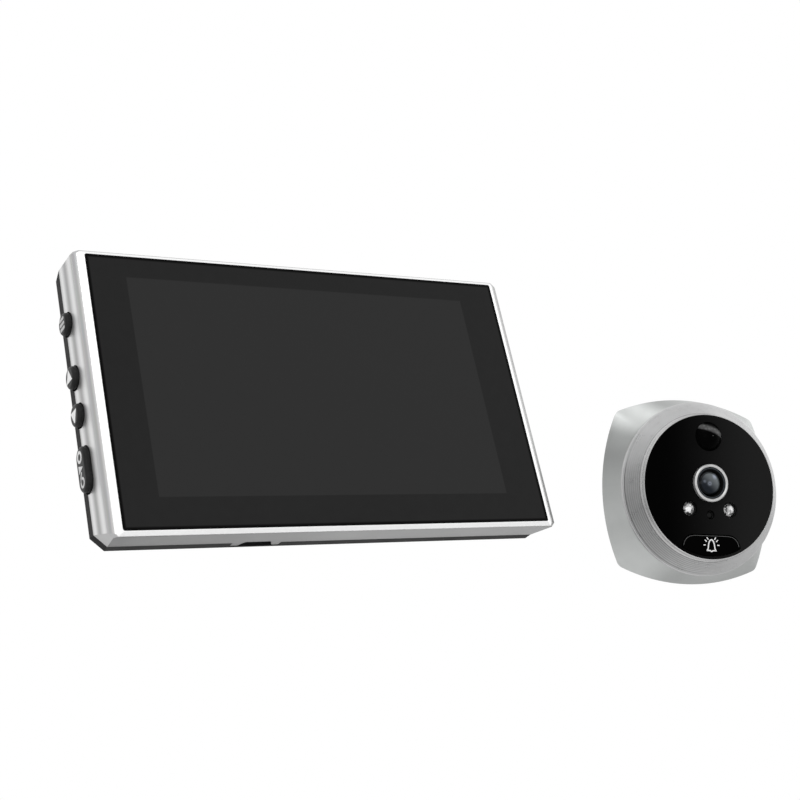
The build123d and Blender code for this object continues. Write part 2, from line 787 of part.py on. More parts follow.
# Charging port: a metal shell with a contact tongue, open at the bottom edge.
port_front = cover_floor - port_thickness
port_bottom_z = -pocket_half_z + port_inset_depth
with BuildPart() as charging_port:
    with BuildSketch(monitor_depth(port_front)):
        with Locations((port_x, port_bottom_z + port_length / 2)):
            Rectangle(port_width, port_length)
    extrude(amount=-port_thickness)
    with BuildSketch(monitor_depth(port_front + port_wall_thickness)):
        with Locations((port_x, port_bottom_z + port_length / 2 - port_wall_thickness)):
            Rectangle(port_width - port_wall_thickness - port_wall_thickness, port_length)
    extrude(amount=-(port_thickness - port_wall_thickness - port_wall_thickness), mode=Mode.SUBTRACT)
    with BuildSketch(monitor_depth(port_front + (port_thickness - port_tongue_thickness) / 2)):
        with Locations((port_x, port_bottom_z + port_length / 2 + port_wall_thickness)):
            Rectangle(port_tongue_width, port_length - port_wall_thickness - port_wall_thickness)
    extrude(amount=-port_tongue_thickness)
charging_port.part.label = "charging_port"
export_step(charging_port.part, "parts/charging_port.step")

# Side buttons and their switches
# The strip stands across the edge of the main board. The ears stay clear of the cover's floor.
switch_heights = [menu_z, up_z, down_z, function_z]
strip_mid_depth = strip_front_depth + strip_depth / 2
ear_mid = cover_floor - button_depth - ear_gap - ear_depth / 2
with BuildPart() as button_board:
    with BuildSketch(side_at(strip_x)):
        with Locations((0, strip_mid_depth - button_depth)):
            Rectangle(strip_half_length + strip_half_length, strip_depth)
    extrude(amount=-strip_thickness)
button_board.part.label = "button_board"
export_step(button_board.part, "parts/button_board.step")

with BuildPart() as side_switches:
    with BuildSketch(side_at(strip_x)):
        for height in switch_heights:
            with Locations((height, 0)):
                Rectangle(switch_size, switch_size)
                Circle(switch_plunger_radius + switch_plunger_gap, mode=Mode.SUBTRACT)
    extrude(amount=switch_height)
    with BuildSketch(side_at(strip_x)):
        for height in switch_heights:
            with Locations((height, 0)):
                Circle(switch_plunger_radius + switch_plunger_gap)
    extrude(amount=switch_height - switch_plunger_sunk_depth - switch_stroke_gap)
side_switches.part.label = "side_switches"
export_step(side_switches.part, "parts/side_switches.step")


# Round buttons with a domed edge, a neck in the wall and two ears behind the wall.
for name, height in [("menu", menu_z), ("up", up_z), ("down", down_z)]:
    with BuildPart() as round_button:
        with BuildSketch(side_at(button_root_x)):
            with Locations((height, 0)):
                Circle(button_radius)
        extrude(amount=button_face_x - button_root_x)
        fillet(round_button.edges().sort_by(Axis.X)[0], button_edge_radius)
        with BuildSketch(side_at(ear_back_x)):
            with Locations((height, ear_mid)):
                Rectangle(button_neck_width, ear_depth)
        extrude(amount=button_root_x - ear_back_x)
        with BuildSketch(side_at(ear_back_x)):
            with Locations((height, ear_mid)):
                Rectangle(2 * (button_radius + ear_overhang_length), ear_depth)
        extrude(amount=ear_thickness)
    round_button.part.label = name + "_button"
    export_step(round_button.part, "parts/" + name + "_button.step")

with BuildPart() as function_button:
    with BuildSketch(side_at(button_root_x)):
        with Locations((function_z, 0)):
            SlotOverall(function_length, button_radius + button_radius)
    extrude(amount=button_face_x - button_root_x)
    fillet(function_button.faces().sort_by(Axis.X)[0].edges(), button_edge_radius)
    with BuildSketch(side_at(ear_back_x)):
        with Locations((function_z, ear_mid)):
            Rectangle(function_length - button_radius, ear_depth)
    extrude(amount=button_root_x - ear_back_x)
    with BuildSketch(side_at(ear_back_x)):
        with Locations((function_z, ear_mid)):
            Rectangle(function_length + ear_overhang_length + ear_overhang_length, ear_depth)
    extrude(amount=ear_thickness)
function_button.part.label = "function_button"
export_step(function_button.part, "parts/function_button.step")

plunger_heights = [("menu", menu_z), ("up", up_z), ("down", down_z), ("function", function_z)]
for name, height in plunger_heights:
    with BuildPart() as switch_plunger:
        with BuildSketch(side_at(plunger_end_x)):
            with Locations((height, 0)):
                Circle(switch_plunger_radius)
        extrude(amount=switch_plunger_sunk_depth + switch_plunger_rise_length)
    switch_plunger.part.label = name + "_plunger"
    export_step(switch_plunger.part, "parts/" + name + "_plunger.step")

# Door bracket
# Pressed steel plate; each hook is bent out of the plate beside its own window.
with BuildPart() as door_bracket:
    with BuildSketch(Plane.XZ):
        RectangleRounded(bracket_width, bracket_height, bracket_corner_radius)
        Circle(bracket_bore_radius, mode=Mode.SUBTRACT)
        with Locations((0, bracket_screw_spacing / 2), (0, -bracket_screw_spacing / 2)):
            Circle(bracket_screw_radius, mode=Mode.SUBTRACT)
        for hook_x, hook_z in hook_spots:
            with Locations((hook_x, hook_z + hook_thickness + hook_lip_height / 2)):
                Rectangle(hook_width, hook_lip_height, mode=Mode.SUBTRACT)
    extrude(amount=bracket_thickness)
    for hook_x, hook_z in hook_spots:
        with BuildSketch(Plane.XZ):
            with Locations((hook_x, hook_z + hook_thickness / 2)):
                Rectangle(hook_width, hook_thickness)
        extrude(amount=bracket_thickness + hook_reach)
        with BuildSketch(Plane.XZ.offset(bracket_thickness + hook_reach - hook_thickness)):
            with Locations((hook_x, hook_z + (hook_thickness + hook_lip_height) / 2)):
                Rectangle(hook_width, hook_thickness + hook_lip_height)
        extrude(amount=hook_thickness)
door_bracket.part.label = "door_bracket"
export_step(door_bracket.part, "parts/door_bracket.step")

# Camera unit
# The three angles turn the unit against the monitor, as the photo shows the pair.
unit_place = Location((unit_x, unit_y, unit_z), (unit_yaw, unit_tip, unit_roll), Intrinsic.ZXY)
unit_level = Plane(unit_place)
unit_front = Plane(origin=unit_level.origin, x_dir=unit_level.x_dir, z_dir=-unit_level.y_dir)
ring_spigot_end = ring_depth + ring_spigot_length
shelf_front = unit_board_depth + unit_board_thickness
shelf_back = shelf_front + shelf_thickness
plate_front = body_depth - plate_thickness
unit_socket_depth = (plate_front - shelf_front) * unit_socket_room_share
tube_front = plate_front - tube_flange_thickness
gasket_back = body_depth + gasket_thickness
tube_shoulder_radius = tube_radius + tube_shoulder_width
tube_end = gasket_back + tube_length
carrier_front = disc_thickness
carrier_back = carrier_front + carrier_thickness
carrier_radius = ring_bore_radius - carrier_gap


def unit_depth(depth):
    """Plane at this depth behind the disc's face, facing out of the door."""
    return unit_front.offset(-depth)


def unit_section(x, z):
    """Plane through a line parallel to the unit's axis: radius first, depth second."""
    return Plane(unit_level.location * Location((x, 0, z)))


def unit_axis(x, z):
    """The line itself, at this place on the disc."""
    return Axis(unit_section(x, z).origin, unit_level.y_dir)


def bulged_square(corner, bulge):
    """Flat face like a square with bulging sides and soft corners; equal sizes make a circle."""
    half = corner * diagonal_share
    rise = bulge - half
    arc_radius = (half * half + rise * rise) / (rise + rise)
    turn = asin(half / arc_radius) * corner_end_share
    end_x = arc_radius * sin(turn)
    end_z = bulge - arc_radius + arc_radius * cos(turn)
    soft_radius = (end_z - end_x) / (cos(turn) - sin(turn))
    tip = end_x - soft_radius * sin(turn) + soft_radius * diagonal_share
    start = (-end_x, end_z)
    middle = (0, bulge)
    end = (end_x, end_z)
    soft = (tip, tip)
    after = (end_z, end_x)
    edges = []
    for quarter in range(4):
        edges.append(Edge.make_three_point_arc(start, middle, end))
        edges.append(Edge.make_three_point_arc(end, soft, after))
        start, middle, end, soft, after = [(z, -x) for x, z in (start, middle, end, soft, after)]
    return Face(Wire(edges))


def body_sizes(share):
    """Corner and side distance of the body at this share of its depth."""
    corner = body_radius + (body_corner - body_radius) * share**corner_power
    bulge = body_radius + (body_bulge - body_radius) * share**bulge_power
    return corner, bulge


def inner_sizes(depth):
    """The same distances inside the body's wall."""
    corner, bulge = body_sizes((depth - ring_depth) / (body_depth - ring_depth))
    return corner - body_wall_thickness, bulge - body_wall_thickness


# The flared body, round in front and square at the door.
plate_spot = (body_radius - plate_post_gap) * diagonal_share
plate_spots = [(-plate_spot, plate_spot), (plate_spot, plate_spot)]
plate_spots += [(-plate_spot, -plate_spot), (plate_spot, -plate_spot)]
with BuildPart() as unit_body:
    for share in flare_shares:
        with BuildSketch(unit_depth(ring_depth + (body_depth - ring_depth) * share)):
            add(bulged_square(*body_sizes(share)))
    loft()
    with BuildSketch(unit_depth(ring_depth - overrun_length)):
        Circle(body_cavity_radius)
    extrude(amount=-(shelf_front - ring_depth + overrun_length), mode=Mode.SUBTRACT)
    with BuildSketch(unit_depth(shelf_front)):
        Circle(shelf_radius)
    extrude(amount=-(body_depth - shelf_front + overrun_length), mode=Mode.SUBTRACT)
    with BuildSketch(unit_depth(shelf_back)):
        add(bulged_square(*inner_sizes(shelf_back)))
        with Locations(*plate_spots):
            Circle(plate_post_radius, mode=Mode.SUBTRACT)
    extrude(amount=-(plate_front - shelf_back), mode=Mode.SUBTRACT)
    with BuildSketch(unit_depth(plate_front)):
        add(bulged_square(*inner_sizes(plate_front)))
    extrude(amount=-(plate_thickness + overrun_length), mode=Mode.SUBTRACT)
    with BuildSketch(unit_depth(body_depth)):
        with Locations(*plate_spots):
            Circle(plate_screw_radius + screw_gap)
    extrude(amount=plate_screw_head_height + plate_screw_length, mode=Mode.SUBTRACT)
unit_body.part.label = "unit_body"
export_step(unit_body.part, "parts/unit_body.step")

# The turned ring: a cone of fine steps, a dark line and a lip, with a spigot into the body.
step_run = (ring_bottom_radius - ring_top_radius) / ring_steps
step_fall = (ring_cone_depth - bezel_depth) / ring_steps
ring_points = [(ring_bore_radius, bezel_depth), (ring_top_radius, bezel_depth)]
for step in range(ring_steps):
    ring_points.append((ring_top_radius + step_run * step, bezel_depth + step_fall * (step + 1)))
    ring_points.append((ring_top_radius + step_run * (step + 1), bezel_depth + step_fall * (step + 1)))
ring_points += [
    (ring_line_radius, ring_line_depth),
    (ring_lip_radius, ring_line_depth + bezel_line_width),
    (ring_lip_radius, ring_depth),
    (ring_spigot_radius, ring_depth),
    (ring_spigot_radius, ring_spigot_end),
    (ring_bore_radius, ring_spigot_end),
]
with BuildPart() as turned_ring:
    with BuildSketch(unit_section(0, 0)):
        Polygon(*ring_points, align=None)
    revolve(axis=unit_axis(0, 0))
turned_ring.part.label = "turned_ring"
export_step(turned_ring.part, "parts/turned_ring.step")

# Thin bright ring round the disc, in two steps.
bezel_points = [
    (bezel_inner_radius, 0),
    (bezel_top_radius, 0),
    (bezel_step_radius, bezel_step_depth),
    (bezel_top_radius, bezel_step_depth),
    (bezel_top_radius, bezel_step_depth + bezel_line_width),
    (bezel_step_radius, bezel_step_depth + bezel_line_width),
    (bezel_radius, bezel_depth),
    (bezel_inner_radius, bezel_depth),
]
with BuildPart() as bezel_ring:
    with BuildSketch(unit_section(0, 0)):
        Polygon(*bezel_points, align=None)
    revolve(axis=unit_axis(0, 0))
bezel_ring.part.label = "bezel_ring"
export_step(bezel_ring.part, "parts/bezel_ring.step")

# Outline of the bell button: flat on top, round shoulders and an arc along the disc's edge.
with BuildSketch() as bell_outline:
    with BuildLine():
        Line((-bell_top_half_width, bell_top_z), (bell_top_half_width, bell_top_z))
        for side in (-1, 1):
            ThreePointArc(
                (side * bell_top_half_width, bell_top_z),
                (side * bell_shoulder_x, bell_shoulder_z),
                (side * bell_half_width, bell_side_z),
            )
        ThreePointArc(
            (-bell_half_width, bell_side_z),
            (0, -bell_bottom_radius),
            (bell_half_width, bell_side_z),
        )
    make_face()
bell_opening = offset(bell_outline.sketch, amount=bell_gap)

# The black disc with openings for the lens, the motion dome, the lamps and the bell button.
with BuildPart() as front_disc:
    with BuildSketch(unit_depth(0)):
        Circle(disc_radius)
        with Locations((0, lens_z)):
            Circle(lens_ring_outer_radius + bezel_gap, mode=Mode.SUBTRACT)
        with Locations((0, pir_z)):
            Circle(pir_dome_radius + front_gap, mode=Mode.SUBTRACT)
        with Locations((-led_x, led_z), (led_x, led_z)):
            Circle(led_radius + front_gap, mode=Mode.SUBTRACT)
        with Locations((0, light_sensor_z)):
            Circle(light_sensor_radius + front_gap, mode=Mode.SUBTRACT)
        add(bell_opening, mode=Mode.SUBTRACT)
    extrude(amount=-disc_thickness)
front_disc.part.label = "front_disc"
export_step(front_disc.part, "parts/front_disc.step")

# Black frame behind the disc: a plate with a skirt that stands on the circuit board.
bell_window_top = bell_top_z + bell_tab_rise_height + bell_window_gap
bell_window_bottom = bell_bottom_radius + bell_window_gap
bell_window_height = bell_window_top + bell_window_bottom
bell_window_mid = (bell_window_top - bell_window_bottom) / 2
with BuildPart() as front_carrier:
    with BuildSketch(unit_depth(carrier_front)):
        Circle(carrier_radius)
    extrude(amount=-(unit_board_depth - carrier_front))
    with BuildSketch(unit_depth(carrier_back)):
        Circle(carrier_radius - carrier_skirt_thickness)
    extrude(amount=-(unit_board_depth - carrier_back), mode=Mode.SUBTRACT)
    with BuildSketch(unit_depth(carrier_front)):
        with Locations((0, lens_z)):
            Circle(holder_size / 2)
        with Locations((0, pir_z)):
            Circle(pir_dome_radius)
        with Locations((-led_x, led_z), (led_x, led_z)):
            Circle(led_radius + front_gap)
        with Locations((0, light_sensor_z)):
            Circle(light_sensor_radius + front_gap)
    extrude(amount=-carrier_thickness, mode=Mode.SUBTRACT)
    with BuildSketch(unit_depth(carrier_front)):
        with Locations((0, lens_z)):
            Circle(lens_ring_flange_radius + front_gap)
    extrude(amount=-lens_ring_flange_thickness, mode=Mode.SUBTRACT)
    with BuildSketch(unit_depth(carrier_front)):
        with Locations((0, pir_z)):
            Circle(pir_flange_radius + front_gap)
    extrude(amount=-pir_flange_thickness, mode=Mode.SUBTRACT)
    with BuildSketch(unit_depth(carrier_front)):
        with Locations((0, bell_window_mid)):
            Rectangle(2 * (bell_half_width + bell_window_gap), bell_window_height)
        Circle(bell_bottom_radius + bell_window_gap, mode=Mode.INTERSECT)
    extrude(amount=-carrier_thickness, mode=Mode.SUBTRACT)
front_carrier.part.label = "front_carrier"
export_step(front_carrier.part, "parts/front_carrier.step")

# Lens
lens_section = unit_section(0, lens_z)
lens_axis = unit_axis(0, lens_z)
lens_ring_points = [
    (lens_ring_inner_radius, lens_ring_edge_width - lens_ring_rise_height),
    (lens_ring_inner_radius + lens_ring_edge_width, -lens_ring_rise_height),
    (lens_ring_outer_radius - lens_ring_edge_width, -lens_ring_rise_height),
    (lens_ring_outer_radius, lens_ring_edge_width - lens_ring_rise_height),
    (lens_ring_outer_radius, disc_thickness),
    (lens_ring_flange_radius, disc_thickness),
    (lens_ring_flange_radius, disc_thickness + lens_ring_flange_thickness),
    (lens_ring_inner_radius, disc_thickness + lens_ring_flange_thickness),
]
with BuildPart() as lens_ring:
    with BuildSketch(lens_section):
        Polygon(*lens_ring_points, align=None)
    revolve(axis=lens_axis)
lens_ring.part.label = "lens_ring"
export_step(lens_ring.part, "parts/lens_ring.step")

barrel_radius = lens_ring_inner_radius - barrel_gap
barrel_mouth_radius = barrel_radius - barrel_lip_width
barrel_middle_radius = (barrel_mouth_radius + barrel_throat_radius) / 2
barrel_middle_depth = (barrel_throat_depth - barrel_rise_height) / 2
dome_seat_radius = dome_lens_radius + glass_seat_gap
rear_seat_radius = rear_lens_radius + glass_seat_gap
barrel_points = [
    (barrel_mouth_radius, -barrel_rise_height),
    (barrel_radius, -barrel_rise_height),
    (barrel_radius, holder_depth),
    (rear_seat_radius, holder_depth),
    (rear_seat_radius, rear_lens_depth),
    (barrel_bore_radius, rear_lens_depth),
    (barrel_bore_radius, dome_lens_back_depth),
    (dome_seat_radius, dome_lens_back_depth),
    (dome_seat_radius, barrel_throat_depth),
    (barrel_throat_radius, barrel_throat_depth),
    (barrel_throat_radius, barrel_middle_depth),
    (barrel_middle_radius, barrel_middle_depth),
    (barrel_middle_radius, (barrel_middle_depth - barrel_rise_height) / 2),
    (barrel_mouth_radius, (barrel_middle_depth - barrel_rise_height) / 2),
]
with BuildPart() as lens_barrel:
    with BuildSketch(lens_section):
        Polygon(*barrel_points, align=None)
    revolve(axis=lens_axis)
lens_barrel.part.label = "lens_barrel"
export_step(lens_barrel.part, "parts/lens_barrel.step")

dome_swell = dome_lens_edge_depth + dome_lens_rise_height
dome_arc_radius = (dome_lens_radius**2 + dome_swell**2) / (dome_swell + dome_swell)
dome_half_radius = dome_lens_radius / 2
dome_half_depth = dome_arc_radius - dome_lens_rise_height - sqrt(dome_arc_radius**2 - dome_half_radius**2)
with BuildPart() as lens_dome:
    with BuildSketch(lens_section):
        with BuildLine():
            ThreePointArc(
                (0, -dome_lens_rise_height),
                (dome_half_radius, dome_half_depth),
                (dome_lens_radius, dome_lens_edge_depth),
            )
            Polyline(
                (dome_lens_radius, dome_lens_edge_depth),
                (dome_lens_radius, dome_lens_back_depth),
                (0, dome_lens_back_depth),
                (0, -dome_lens_rise_height),
            )
        make_face()
    revolve(axis=lens_axis)
lens_dome.part.label = "lens_dome"
export_step(lens_dome.part, "parts/lens_dome.step")

with BuildPart() as rear_lens:
    with BuildSketch(unit_depth(rear_lens_depth)):
        with Locations((0, lens_z)):
            Circle(rear_lens_radius)
    extrude(amount=-rear_lens_thickness)
rear_lens.part.label = "rear_lens"
export_step(rear_lens.part, "parts/rear_lens.step")

holder_hollow_width = holder_size - 2 * holder_wall_thickness
# The holder stands on the board over the image sensor and takes the barrel in its tube.
with BuildPart() as lens_holder:
    with BuildSketch(unit_depth(holder_depth)):
        with Locations((0, lens_z)):
            Rectangle(holder_size, holder_size)
    extrude(amount=-(unit_board_depth - holder_depth))
    with BuildSketch(unit_depth(holder_tube_front_depth)):
        with Locations((0, lens_z)):
            Circle(holder_size / 2)
    extrude(amount=-(holder_depth - holder_tube_front_depth))
    with BuildSketch(unit_depth(holder_tube_front_depth)):
        with Locations((0, lens_z)):
            Circle(barrel_radius + barrel_gap)
    extrude(amount=-(holder_depth - holder_tube_front_depth), mode=Mode.SUBTRACT)
    with BuildSketch(unit_depth(holder_depth)):
        with Locations((0, lens_z)):
            Circle(holder_bore_radius)
    extrude(amount=-(unit_board_depth - holder_depth), mode=Mode.SUBTRACT)
    with BuildSketch(unit_depth(holder_depth + sensor_thickness)):
        with Locations((0, lens_z)):
            Rectangle(holder_hollow_width, holder_hollow_width)
    extrude(amount=-(unit_board_depth - holder_depth - sensor_thickness), mode=Mode.SUBTRACT)
lens_holder.part.label = "lens_holder"
export_step(lens_holder.part, "parts/lens_holder.step")

with BuildPart() as image_sensor:
    with BuildSketch(unit_depth(unit_board_depth)):
        with Locations((0, lens_z)):
            Rectangle(sensor_size, sensor_size)
    extrude(amount=sensor_thickness)
image_sensor.part.label = "image_sensor"
export_step(image_sensor.part, "parts/image_sensor.step")

# Motion sensor
pir_section = unit_section(0, pir_z)
pir_axis = unit_axis(0, pir_z)
pir_outer_radius = (pir_dome_radius**2 / pir_dome_rise_height + pir_dome_rise_height) / 2
pir_inner_foot = pir_dome_radius - pir_dome_wall_thickness
pir_inner_rise = pir_dome_rise_height - pir_dome_wall_thickness
pir_inner_radius = (pir_inner_foot**2 / pir_inner_rise + pir_inner_rise) / 2
pir_half = pir_dome_radius / 2
pir_inner_half = pir_inner_foot / 2
pir_half_depth = pir_outer_radius - pir_dome_rise_height - sqrt(pir_outer_radius**2 - pir_half**2)
pir_inner_half_depth = pir_inner_radius - pir_inner_rise - sqrt(pir_inner_radius**2 - pir_inner_half**2)
pir_flange_back = disc_thickness + pir_flange_thickness
with BuildPart() as pir_dome:
    with BuildSketch(pir_section):
        with BuildLine():
            ThreePointArc((0, -pir_dome_rise_height), (pir_half, pir_half_depth), (pir_dome_radius, 0))
            Polyline(
                (pir_dome_radius, 0),
                (pir_dome_radius, disc_thickness),
                (pir_flange_radius, disc_thickness),
                (pir_flange_radius, pir_flange_back),
                (pir_inner_foot, pir_flange_back),
                (pir_inner_foot, 0),
            )
            ThreePointArc((pir_inner_foot, 0), (pir_inner_half, pir_inner_half_depth), (0, -pir_inner_rise))
            Line((0, -pir_inner_rise), (0, -pir_dome_rise_height))
        make_face()
    revolve(axis=pir_axis)
pir_dome.part.label = "pir_dome"
export_step(pir_dome.part, "parts/pir_dome.step")

with BuildPart() as pir_sensor:
    with BuildSketch(unit_depth(unit_board_depth)):
        with Locations((0, pir_z)):
            Circle(pir_sensor_radius)
    extrude(amount=pir_sensor_height)
    with BuildSketch(unit_depth(unit_board_depth)):
        with Locations((0, pir_z)):
            Circle(pir_sensor_radius + pir_sensor_rim_width)
    extrude(amount=pir_sensor_rim_height)
    with BuildSketch(unit_depth(unit_board_depth - pir_sensor_height)):
        with Locations((0, pir_z)):
            Rectangle(pir_window_width, pir_window_height)
    extrude(amount=-pir_window_depth, mode=Mode.SUBTRACT)
pir_sensor.part.label = "pir_sensor"
export_step(pir_sensor.part, "parts/pir_sensor.step")

# Lamps and light sensor
with BuildPart() as ir_leds:
    with BuildSketch(unit_depth(unit_board_depth)):
        with Locations((-led_x, led_z), (led_x, led_z)):
            Circle(led_radius)
    extrude(amount=unit_board_depth - led_tip_depth)
    fillet(ir_leds.edges().sort_by(Axis(unit_front.origin, unit_front.z_dir))[-2:], led_radius * 0.96)
    with BuildSketch(unit_depth(unit_board_depth)):
        with Locations((-led_x, led_z), (led_x, led_z)):
            Circle(led_flange_radius)
    extrude(amount=led_flange_thickness)
ir_leds.part.label = "ir_leds"
export_step(ir_leds.part, "parts/ir_leds.step")

with BuildPart() as light_sensor:
    with BuildSketch(unit_depth(unit_board_depth)):
        with Locations((0, light_sensor_z)):
            Circle(light_sensor_radius)
    extrude(amount=unit_board_depth - light_sensor_tip_depth)
    fillet(
        light_sensor.edges().sort_by(Axis(unit_front.origin, unit_front.z_dir))[-1],
        light_sensor_radius * 0.9,
    )
    with BuildSketch(unit_depth(unit_board_depth)):
        with Locations((0, light_sensor_z)):
            Circle(light_sensor_flange_radius)
    extrude(amount=light_sensor_flange_thickness)
light_sensor.part.label = "light_sensor"
export_step(light_sensor.part, "parts/light_sensor.step")

# Bell button
bell_switch_front = unit_board_depth - bell_switch_height
bell_plunger_front = bell_switch_front - bell_plunger_rise_length
bell_tab_front = disc_thickness + bell_tab_gap
with BuildPart() as doorbell_button:
    with BuildSketch(unit_depth(0)):
        add(bell_outline.sketch)
    extrude(amount=-bell_cap_depth)
    with BuildSketch(unit_depth(bell_tab_front)):
        with Locations((0, bell_top_z + bell_tab_rise_height - bell_tab_height / 2)):
            Rectangle(bell_tab_width, bell_tab_height)
    extrude(amount=-bell_tab_thickness)
    with BuildSketch(unit_depth(0)):
        with Locations((0, bell_stem_z)):
            Circle(bell_stem_radius)
    extrude(amount=-bell_plunger_front)
doorbell_button.part.label = "doorbell_button"
export_step(doorbell_button.part, "parts/doorbell_button.step")

with BuildPart() as doorbell_plunger:
    with BuildSketch(unit_depth(bell_plunger_front)):
        with Locations((0, bell_stem_z)):
            Circle(bell_plunger_radius)
    extrude(amount=-(bell_plunger_rise_length + bell_plunger_sunk_depth))
doorbell_plunger.part.label = "doorbell_plunger"
export_step(doorbell_plunger.part, "parts/doorbell_plunger.step")

with BuildPart() as doorbell_switch:
    with BuildSketch(unit_depth(bell_switch_front)):
        with Locations((0, bell_stem_z)):
            Rectangle(bell_switch_size, bell_switch_size)
    extrude(amount=-bell_switch_height)
    with BuildSketch(unit_depth(bell_switch_front)):
        with Locations((0, bell_stem_z)):
            Circle(bell_plunger_radius + switch_plunger_gap)
    extrude(amount=-(bell_plunger_sunk_depth + bell_stroke_gap), mode=Mode.SUBTRACT)
doorbell_switch.part.label = "doorbell_switch"
export_step(doorbell_switch.part, "parts/doorbell_switch.step")

# Circuit board, back plate, tube and gasket
with BuildPart() as unit_board:
    with BuildSketch(unit_depth(unit_board_depth)):
        Circle(body_cavity_radius - unit_board_gap)
    extrude(amount=-unit_board_thickness)
unit_board.part.label = "unit_board"
export_step(unit_board.part, "parts/unit_board.step")

with BuildPart() as unit_socket:
    with BuildSketch(unit_depth(shelf_front)):
        with Locations((0, unit_socket_z)):
            Rectangle(unit_socket_width, unit_socket_height)
    extrude(amount=-unit_socket_depth)
    with BuildSketch(unit_depth(shelf_front + unit_socket_wall_thickness)):
        with Locations((0, unit_socket_z)):
            Rectangle(
                unit_socket_width - 2 * unit_socket_wall_thickness,
                unit_socket_height - 2 * unit_socket_wall_thickness,
            )
    extrude(amount=-unit_socket_depth, mode=Mode.SUBTRACT)
unit_socket.part.label = "unit_socket"
export_step(unit_socket.part, "parts/unit_socket.step")

plate_corner, plate_bulge = inner_sizes(plate_front)
with BuildPart() as back_plate:
    with BuildSketch(unit_depth(plate_front)):
        add(bulged_square(plate_corner - plate_gap, plate_bulge - plate_gap))
        Circle(tube_shoulder_radius + tube_gap, mode=Mode.SUBTRACT)
    extrude(amount=-plate_thickness)
    with BuildSketch(unit_depth(body_depth)):
        with Locations(*plate_spots):
            Circle(plate_screw_radius + screw_gap)
    extrude(amount=plate_thickness, mode=Mode.SUBTRACT)
    with BuildSketch(unit_depth(body_depth)):
        with Locations(*plate_spots):
            Circle(plate_screw_head_radius + cover_screw_well_gap)
    extrude(amount=plate_screw_head_height, mode=Mode.SUBTRACT)
back_plate.part.label = "back_plate"
export_step(back_plate.part, "parts/back_plate.step")

with BuildPart() as plate_screws:
    with BuildSketch(unit_depth(body_depth)):
        with Locations(*plate_spots):
            Circle(plate_screw_head_radius)
    extrude(amount=plate_screw_head_height)
    with BuildSketch(unit_depth(body_depth)):
        with Locations(*plate_spots):
            Circle(plate_screw_radius)
    extrude(amount=plate_screw_head_height + plate_screw_length)
    with BuildSketch(unit_depth(body_depth)):
        with Locations(*plate_spots):
            Rectangle(drive_length, drive_width)
            Rectangle(drive_width, drive_length)
    extrude(amount=drive_depth, mode=Mode.SUBTRACT)
plate_screws.part.label = "plate_screws"
export_step(plate_screws.part, "parts/plate_screws.step")

with BuildPart() as door_tube:
    with BuildSketch(unit_depth(tube_front)):
        Circle(tube_flange_radius)
    extrude(amount=-tube_flange_thickness)
    with BuildSketch(unit_depth(tube_front)):
        Circle(tube_shoulder_radius)
    extrude(amount=-(gasket_back - tube_front))
    with BuildSketch(unit_depth(gasket_back)):
        Circle(tube_shoulder_radius)
    with BuildSketch(unit_depth(gasket_back + tube_shoulder_width)):
        Circle(tube_radius)
    loft(ruled=True)
    with BuildSketch(unit_depth(tube_front)):
        Circle(tube_radius)
    extrude(amount=-(tube_end - tube_front))
    with BuildSketch(unit_depth(tube_front)):
        Circle(tube_bore_radius)
    extrude(amount=-(tube_end - tube_front), mode=Mode.SUBTRACT)
door_tube.part.label = "door_tube"
export_step(door_tube.part, "parts/door_tube.step")

with BuildPart() as door_gasket:
    with BuildSketch(unit_depth(body_depth)):
        add(bulged_square(body_corner - gasket_inset_width, body_bulge - gasket_inset_width))
        Circle(tube_shoulder_radius + gasket_bore_gap, mode=Mode.SUBTRACT)
    extrude(amount=-gasket_thickness)
door_gasket.part.label = "door_gasket"
export_step(door_gasket.part, "parts/door_gasket.step")
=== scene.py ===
# %% [markdown]
# # A peephole door camera in Blender
# The object has two parts. Indoors, a flat monitor hangs on a steel bracket on the door. Outdoors
# sits a small camera unit with a doorbell button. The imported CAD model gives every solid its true
# place, so this lesson adds what CAD leaves out: finishes, printed marks, a screw thread and
# light. Everything is in metres, with +Z up and +Y going into the door.

from math import cos, pi, radians, sin

import bpy
from mathutils import Matrix, Vector


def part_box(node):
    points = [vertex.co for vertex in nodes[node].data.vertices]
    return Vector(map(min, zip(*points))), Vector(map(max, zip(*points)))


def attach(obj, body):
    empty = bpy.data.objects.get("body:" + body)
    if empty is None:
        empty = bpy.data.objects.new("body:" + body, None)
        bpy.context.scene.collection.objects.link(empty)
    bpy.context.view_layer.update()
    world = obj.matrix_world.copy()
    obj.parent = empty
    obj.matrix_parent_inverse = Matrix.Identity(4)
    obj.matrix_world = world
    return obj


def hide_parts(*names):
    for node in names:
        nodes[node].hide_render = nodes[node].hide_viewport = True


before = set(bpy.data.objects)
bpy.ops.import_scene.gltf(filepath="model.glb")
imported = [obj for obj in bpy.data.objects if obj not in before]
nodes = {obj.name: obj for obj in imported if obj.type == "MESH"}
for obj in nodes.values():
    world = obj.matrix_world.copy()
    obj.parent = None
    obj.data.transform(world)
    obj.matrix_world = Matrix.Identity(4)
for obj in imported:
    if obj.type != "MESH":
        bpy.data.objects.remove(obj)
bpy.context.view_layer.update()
MM = 0.001

# %% [markdown]
# ## The camera
# The photograph looks up at the monitor from below and from its left. The camera's place was
# worked out beforehand from the corners of the glass, whose real size is known. A camera can be
# aimed with a constraint, but a matrix of its right, up and backward directions says it exactly.

